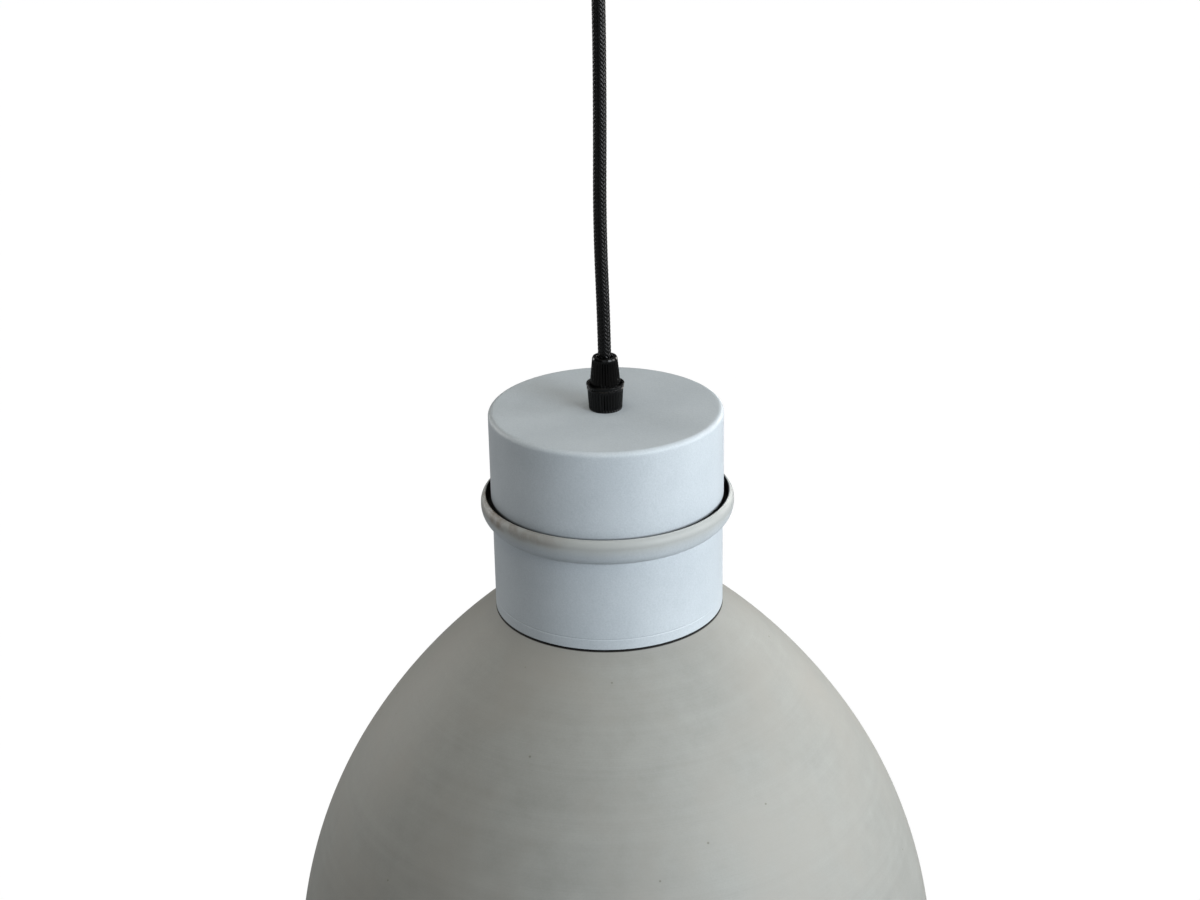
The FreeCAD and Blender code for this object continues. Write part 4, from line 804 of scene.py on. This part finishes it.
def shade_side(inset):
    """The side from the neck's foot to where it is upright, inset from the outer face.

    On each curve, radius and height follow the sine and cosine of the slope, from one slope to the next."""
    upper = np.linspace(TOP_SLOPE, MID_SLOPE, 26)[:-1]
    lower = np.linspace(MID_SLOPE, math.pi / 2, 42)
    slope = np.concatenate([upper, lower])
    on_upper = np.minimum(slope, MID_SLOPE)
    radius = NECK_RADIUS + UPPER_CURVE * (np.sin(on_upper) - math.sin(TOP_SLOPE))
    radius = radius + LOWER_CURVE * (np.sin(slope) - np.sin(on_upper)) - inset * np.sin(slope)
    height = -UPPER_CURVE * (math.cos(TOP_SLOPE) - np.cos(on_upper))
    height = height - LOWER_CURVE * (np.cos(on_upper) - np.cos(slope)) - inset * np.cos(slope)
    return list(zip(radius, height))


def spun_finish():
    """Spun grey metal: close tool rings in relief and tone, broad warm and cool clouds, a few dark specks.

    Up to the neck's foot, TO_NECK along the outline, it is painted black as shade, which shows as a thin
    painted shadow line there."""
    finish, tree, shader = new_finish("spun_grey", Metallic=0.2, Specular_IOR_Level=0.35)
    wrap = add(tree, "SeparateXYZ", {0: add(tree, "UVMap", uv_map="wrap").outputs[0]})
    across = add(tree, "CombineXYZ", {"X": wrap.outputs["Y"]}).outputs[0]
    fine = add(tree, "TexNoise", {"Vector": across, "Scale": 2.4, "Detail": 2.0, "Roughness": 0.7})
    broad = add(tree, "TexNoise", {"Vector": across, "Scale": 0.16, "Detail": 3.0, "Roughness": 0.6})
    rings = between(tree, fine.outputs["Fac"], 0.3, 0.7, 0.0, 1.0)
    bands = between(tree, broad.outputs["Fac"], 0.3, 0.7, 0.0, 1.0)
    speckle, cloud = grained(tree, 0.0009, 0.055)
    blotch, _ = grained(tree, 0.011, 0.055)
    tone = maths(tree, "MULTIPLY_ADD", rings, 0.22, maths(tree, "MULTIPLY", bands, 0.3))
    spots = maths(tree, "MULTIPLY_ADD", speckle, 0.18, maths(tree, "MULTIPLY", blotch, 0.3))
    tone = maths(tree, "ADD", tone, spots)
    grey = mixed_colour(tree, tone, (0.222, 0.228, 0.213), (0.313, 0.321, 0.305))
    warm = mixed_colour(tree, between(tree, cloud, 0.25, 0.85, 0.0, 0.55), grey, (0.280, 0.274, 0.252))
    dust = add(tree, "TexVoronoi", {"Vector": add(tree, "TexCoord").outputs["Object"], "Scale": 70.0})
    speck = between(tree, dust.outputs["Distance"], 0.026, 0.042, 0.55, 0.0)
    marked = mixed_colour(tree, speck, warm, (0.09, 0.078, 0.058))
    # Painted shade: black under the neck's foot and just past it.
    painted_neck_shadow = between(tree, wrap.outputs["Y"], TO_NECK - 0.05, TO_NECK + 0.2, 1.0, 0.0)
    colour = mixed_colour(tree, painted_neck_shadow, marked, PAINTED_SHADE_BLACK)
    height = maths(tree, "MULTIPLY_ADD", speckle, 0.35, rings)
    use(tree, shader, Base_Color=colour, Roughness=between(tree, tone, 0.2, 0.8, 0.60, 0.70),
        Normal=raised(tree, height, 0.000016))
    return finish


spun_grey = spun_finish()
rim = -(SHADE_HEIGHT + RIM_BAND)
under_flat = SHADE_RISE - SHADE_WALL
inner_flat = SHADE_FLAT_RADIUS - SHADE_WALL * math.tan(TOP_SLOPE / 2)
outside = shade_side(0)
inside = shade_side(SHADE_WALL)
shade_corners = rounded([
    (SHADE_HOLE, under_flat),
    (SHADE_HOLE, SHADE_RISE),
    (SHADE_FLAT_RADIUS, SHADE_RISE, 1.4),
    outside[0],
])[:-1]
rim_corners = rounded([
    outside[-1],
    (SHADE_RADIUS, rim, RIM_ROUND),
    (SHADE_RADIUS - RIM_HEM, rim, RIM_ROUND),
    (SHADE_RADIUS - RIM_HEM, rim + RIM_HEM, 0.6),
    (SHADE_RADIUS - SHADE_WALL, rim + RIM_HEM + 0.7, 0.6),
    inside[-1],
])[1:-1]
shade_outline = shade_corners + outside + rim_corners + inside[::-1]
shade_outline.append((inner_flat, under_flat))
neck_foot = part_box("neck")[0].z
shade = turned("shade_spinning", shade_outline, neck_foot, columns=320)
put(shade, spun_grey, "lamp", "spun_grey", "shade")


# ---------------------------------------------------------------- lampholder
# A black metal cap on the threaded tube, a moulded black skirt with a coarse outer thread, and a ceramic
# insert with brass contacts. Two fluted rings on the thread clamp the shade's flat between them.

HOLDER_RADIUS = 19.9
SKIRT_SEAT = 16.7
SKIRT_SPIGOT = 18.3
SKIRT_STEP = 6
SKIRT_LENGTH = 36
SKIRT_BORE = 14.1
SEAT_FLOOR = -7
SKIRT_PITCH = 2.6
SKIRT_THREAD = 0.8
RING_BORE = 19.95
RING_BODY = 23.45
RING_FLANGE = 27
FLANGE_HEIGHT = 1.8
FLUTES = 28
FLUTE_DEPTH = 0.55


def thread(pitch, depth, low, high, inner):
    """A right-hand round thread, as a relief: one ridge that climbs by pitch a turn, fading at both ends."""
    def relief(turn, height, radius):
        wave = 0.5 - 0.5 * np.cos(2 * math.pi * (height / pitch - turn))
        ends = np.clip((height - low) / pitch, 0, 1) * np.clip((high - height) / pitch, 0, 1)
        return -depth * wave * ends * (radius > inner)
    return relief


def flutes(turn, height, radius):
    """Round finger flutes on the flange's edge."""
    wave = (0.5 - 0.5 * np.cos(2 * math.pi * FLUTES * turn)) ** 2
    return -FLUTE_DEPTH * wave * (radius > RING_FLANGE - 1)


black_bakelite = grained_finish("black_bakelite", (0.008, 0.007, 0.007), (0.015, 0.014, 0.013), 0.0004, 0.006,
                                (0.22, 0.34), 0.00001, Specular_IOR_Level=0.5)
black_metal = grained_finish("black_metal", (0.010, 0.010, 0.011), (0.018, 0.018, 0.019), 0.0005, 0.008,
                             (0.35, 0.45), 0.00002)
insert_ceramic = grained_finish("insert_ceramic", (0.70, 0.68, 0.62), (0.80, 0.79, 0.74), 0.0006, 0.006,
                                (0.15, 0.28), 0.00002, Coat_Weight=0.3)
brass = grained_finish("brass", (0.60, 0.42, 0.16), (0.74, 0.55, 0.24), 0.0006, 0.006, (0.22, 0.36), 0.00001,
                       Metallic=1.0)
dress(black_metal, "holder_cap")
dress(zinc_steel, "holder_earth_screw", "contact_screws")
dress(insert_ceramic, "holder_insert")
dress(brass, "contact_shell", "centre_contact")

cap_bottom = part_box("holder_cap")[0].z
skirt = turned("holder_skirt_moulding", rounded([
    (SKIRT_SEAT, SKIRT_STEP),
    (SKIRT_SPIGOT, SKIRT_STEP, 0.2),
    (SKIRT_SPIGOT, 0),
    (HOLDER_RADIUS, 0, 0.2),
    (HOLDER_RADIUS, -SKIRT_LENGTH, 0.6),
    (SKIRT_BORE + 1.2, -SKIRT_LENGTH, 0.4),
    (SKIRT_BORE, -SKIRT_LENGTH + 1.5, 0.4),
    (SKIRT_BORE, SEAT_FLOOR),
    (SKIRT_SEAT, SEAT_FLOOR),
]), cap_bottom, columns=128, relief=thread(SKIRT_PITCH, SKIRT_THREAD, -SKIRT_LENGTH + 1.4, -0.6, 19),
    longest=0.3)
put(skirt, black_bakelite, "lamp", "black_bakelite", "holder_skirt")

for name, node, facing in [
    ("clamp_ring_over", "shade_ring_upper", 1),
    ("clamp_ring_under", "shade_ring_lower", -1),
]:
    low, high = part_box(node)
    height = (high.z - low.z) / MM
    clamp = turned(name, rounded([
        (RING_BORE, 0),
        (RING_FLANGE, 0, 0.3),
        (RING_FLANGE, FLANGE_HEIGHT, 0.4),
        (RING_BODY, FLANGE_HEIGHT, 0.25),
        (RING_BODY, height, 0.4),
        (RING_BORE, height, 0.3),
    ]), low.z if facing > 0 else high.z, facing, columns=FLUTES * 10, relief=flutes)
    put(clamp, black_bakelite, "lamp", "black_bakelite", node)


# ---------------------------------------------------------------- bulb
# A clear screw-in bulb, 60 mm across. Its rolled tin cap is cemented on the glass neck, with a black glass
# insulator and a tip on top; inside, four coated light rods stand on fine wires around a glass stem.

BULB_RADIUS = 30
BULB_LENGTH = 105
BULB_NECK = 12.2
GLASS_WALL = 0.8
SHOULDER_CURVE = 51
CAP_TOP = -4.5
CAP_LOW = -25
CAP_RADIUS = 13.1
CAP_PITCH = 3.63
CAP_THREAD = 0.75
NECK_LOW = CAP_LOW - 6
GLOBE = -(BULB_LENGTH - BULB_RADIUS)
ROD_CIRCLE = 9
ROD_RADIUS = 0.9
RODS = 4
WIRE_RADIUS = 0.22
WIRE_CIRCLE = 2.2
WIRE_RISE = 5
WIRE_SINK = 0.4

bulb_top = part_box("bulb_tip")[1].z
bulb_tin = grained_finish("bulb_tin", (0.66, 0.67, 0.68), (0.80, 0.80, 0.80), 0.0006, 0.007, (0.2, 0.32),
                          0.00001, Metallic=1.0)
bulb_insulator = grained_finish("bulb_insulator", (0.008, 0.006, 0.012), (0.014, 0.012, 0.02), 0.0005, 0.004,
                                (0.1, 0.2), 0.00001)
dress(bulb_tin, "bulb_tip")
dress(bulb_insulator, "bulb_insulator")


def glass_finish():
    """Clear thin glass with the faintest waviness."""
    finish, tree, shader = new_finish("bulb_glass", Base_Color=(0.98, 0.985, 0.98, 1), Roughness=0.02,
                                      IOR=1.45, Transmission_Weight=1.0)
    wave, _ = grained(tree, 0.012, 0.05)
    use(tree, shader, Normal=raised(tree, wave, 0.00003))
    return finish


def rod_finish():
    """Yellow phosphor in a clear resin, banded along the rod by the chips under it."""
    finish, tree, shader = new_finish("light_rods", Roughness=0.4, Coat_Weight=0.4)
    place = add(tree, "SeparateXYZ", {0: add(tree, "TexCoord").outputs["Object"]})
    chips = maths(tree, "PINGPONG", maths(tree, "MULTIPLY", place.outputs["Z"], 650.0), 0.5)
    speckle, _ = grained(tree, 0.0003, 0.004)
    share = maths(tree, "MULTIPLY_ADD", speckle, 0.3, chips)
    use(tree, shader, Base_Color=mixed_colour(tree, share, (0.86, 0.62, 0.14), (0.92, 0.74, 0.26)),
        Normal=raised(tree, speckle, 0.00002))
    return finish


bulb_glass = glass_finish()
light_rods = rod_finish()
dress(bulb_glass, "bulb_stem")

cap = turned("bulb_cap_rolled", rounded([
    (CAP_RADIUS - 1.6, CAP_TOP),
    (CAP_RADIUS - 0.6, CAP_TOP, 0.15),
    (CAP_RADIUS, CAP_TOP - 1.2, 0.3),
    (CAP_RADIUS, CAP_LOW, 0.15),
    (CAP_RADIUS - 0.4, CAP_LOW),
    (CAP_RADIUS - 0.4, CAP_TOP - 1.4),
    (CAP_RADIUS - 1.6, CAP_TOP - 0.6),
]), bulb_top, columns=128, relief=thread(CAP_PITCH, CAP_THREAD, CAP_LOW + 3.4, CAP_TOP - 0.8, 12),
    longest=0.35)
put(cap, bulb_tin, "bulb", "bulb_tin", "bulb_cap")

inner_globe = BULB_RADIUS - GLASS_WALL
throat = BULB_NECK - GLASS_WALL
glass_outline = [(throat, CAP_LOW + 5), (BULB_NECK, CAP_LOW + 5)]
glass_outline += arc_points((BULB_NECK, NECK_LOW), (BULB_RADIUS, GLOBE), SHOULDER_CURVE, 1, 26)
glass_outline += arc_points((BULB_RADIUS, GLOBE), (0, -BULB_LENGTH), BULB_RADIUS, -1, 26)
glass_outline += [(0, -BULB_LENGTH)]
glass_outline += arc_points((0, GLASS_WALL - BULB_LENGTH), (inner_globe, GLOBE), inner_globe, 1, 26)
glass_outline += arc_points((inner_globe, GLOBE), (throat, NECK_LOW), SHOULDER_CURVE + GLASS_WALL, -1, 26)
glass_outline += [(throat, NECK_LOW)]
envelope = turned("bulb_envelope", glass_outline, bulb_top, columns=160)
put(envelope, bulb_glass, "bulb", "bulb_glass", "bulb_glass")

rods_low, rods_high = (corner.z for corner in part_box("bulb_light_rods"))


def tube_rings(line, radii, columns=20):
    """Rings around a line that runs more or less downwards, one for each of its points, with their radii."""
    line = np.array(line, float)
    forward = np.gradient(line, axis=0)
    forward /= np.linalg.norm(forward, axis=1, keepdims=True)
    right = np.cross(forward, (0, 1.0, 0))
    right /= np.linalg.norm(right, axis=1, keepdims=True)
    ahead = np.cross(forward, right)
    angle = 2 * math.pi * np.arange(columns) / columns
    around = np.cos(angle)[None, :, None] * right[:, None] + np.sin(angle)[None, :, None] * ahead[:, None]
    return line[:, None] + around * np.array(radii, float)[:, None, None] * MM


def rod_pieces():
    """Rods with rounded ends, and for each a fine wire that leaves the stem and curves out to its top."""
    lean = np.linspace(0.1, math.pi / 2, 6)
    ends = [(rods_high - ROD_RADIUS * MM * (1 - math.cos(turn)), ROD_RADIUS * math.sin(turn))
            for turn in lean]
    ends += [(rods_low + rods_high - height, radius) for height, radius in ends[::-1]]
    radii = [radius for _, radius in ends]
    meshes = {"rod": [], "wire": []}
    for number in range(RODS):
        turn = 2 * math.pi / RODS * number
        way = np.array([math.cos(turn), math.sin(turn), 0])
        at = way * ROD_CIRCLE * MM
        line = [at + (0, 0, height) for height, _ in ends]
        meshes["rod"].append(grid_piece(f"light_rod_{number}", tube_rings(line, radii), outward=1,
                                        lids=(0, -1), sharp=60))
        sweep = np.linspace(0, 1, 9)
        wire = [way * (WIRE_CIRCLE + (ROD_CIRCLE - WIRE_CIRCLE) * math.sin(step * math.pi / 2)) * MM
                + (0, 0, rods_high + (1 - step) * WIRE_RISE * MM - WIRE_SINK * MM * step) for step in sweep]
        wire_rings = tube_rings(wire, [WIRE_RADIUS] * len(sweep), columns=10)
        meshes["wire"].append(grid_piece(f"rod_wire_{number}", wire_rings, outward=1, lids=(0, -1), sharp=60))
    return meshes


def joined(pieces, name):
    """Several pieces made one."""
    with bpy.context.temp_override(active_object=pieces[0], selected_editable_objects=pieces):
        bpy.ops.object.join()
    pieces[0].name = name
    pieces[0].data.name = name
    return pieces[0]


inner_pieces = rod_pieces()
rods = joined(inner_pieces["rod"], "filament_rods")
put(rods, light_rods, "bulb", "light_rods", "bulb_light_rods")
wires = joined(inner_pieces["wire"], "filament_wires")
put(wires, bulb_tin, "bulb", "bulb_tin")


# ---------------------------------------------------------------- studio
# A plain white floor far below the lamp, in a white room. Two large soft lights stand low on the right, a
# third hangs above, and others at the back and the front lift the edges. The left side is in soft shade.

FLOOR_SIZE = 30.0
FLOOR_LEVEL = -2.6
FLOOR_GLOW = 0.31
ROOM_GLOW = 0.1
LAMP_MIDDLE = -0.35
LIGHTS = [
    ("key", 38, 1.2, (2.4, -0.1, 0.15), (1.0, 1.0, 1.0)),
    ("key_front", 50, 1.2, (1.7, -1.5, 0.45), (0.95, 1.0, 1.05)),
    ("overhead", 18, 1.6, (-0.2, -0.2, 1.6), (1.08, 1.0, 0.87)),
    ("edge_left", 18, 1.0, (-1.95, 1.4, 0.1), (1.0, 1.0, 1.0)),
    ("edge_right", 24, 1.0, (1.65, 1.75, 0.1), (1.04, 1.0, 0.95)),
    ("front", 10, 1.6, (-0.1, -2.3, 0.6), (0.95, 1.0, 1.05)),
]

bpy.context.scene.view_settings.view_transform = "Standard"

half = FLOOR_SIZE / 2
floor_mesh = bpy.data.meshes.new("floor")
floor_mesh.from_pydata([(-half, -half, FLOOR_LEVEL), (half, -half, FLOOR_LEVEL), (half, half, FLOOR_LEVEL),
                        (-half, half, FLOOR_LEVEL)], [], [(0, 1, 2, 3)])
floor = bpy.data.objects.new("floor", floor_mesh)
bpy.context.scene.collection.objects.link(floor)
floor_white, floor_tree, floor_shader = new_finish("floor_white", Base_Color=(0, 0, 0, 1), Roughness=1.0,
                                                   Emission_Color=(1, 1, 1, 1))
floor_seen = floor_tree.nodes.new("ShaderNodeLightPath").outputs["Is Camera Ray"]
use(floor_tree, floor_shader, Emission_Strength=between(floor_tree, floor_seen, 0.0, 1.0, FLOOR_GLOW, 1.0))
floor_mesh.materials.append(floor_white)

world = bpy.data.worlds.new("studio")
bpy.context.scene.world = world
world.use_nodes = True
room = world.node_tree.nodes["Background"]
room.inputs["Color"].default_value = (1, 1, 1, 1)
room_seen = world.node_tree.nodes.new("ShaderNodeLightPath").outputs["Is Camera Ray"]
room_glow = between(world.node_tree, room_seen, 0.0, 1.0, ROOM_GLOW, 1.0)
world.node_tree.links.new(room_glow, room.inputs["Strength"])

lamp_middle = Vector((0, 0, LAMP_MIDDLE))
for name, power, size, place, colour in LIGHTS:
    data = bpy.data.lights.new(name, "AREA")
    data.shape = "SQUARE"
    data.energy = power
    data.size = size
    data.color = colour
    light = bpy.data.objects.new(name, data)
    bpy.context.scene.collection.objects.link(light)
    light.location = place
    light.rotation_euler = (lamp_middle - Vector(place)).to_track_quat("-Z", "Y").to_euler()
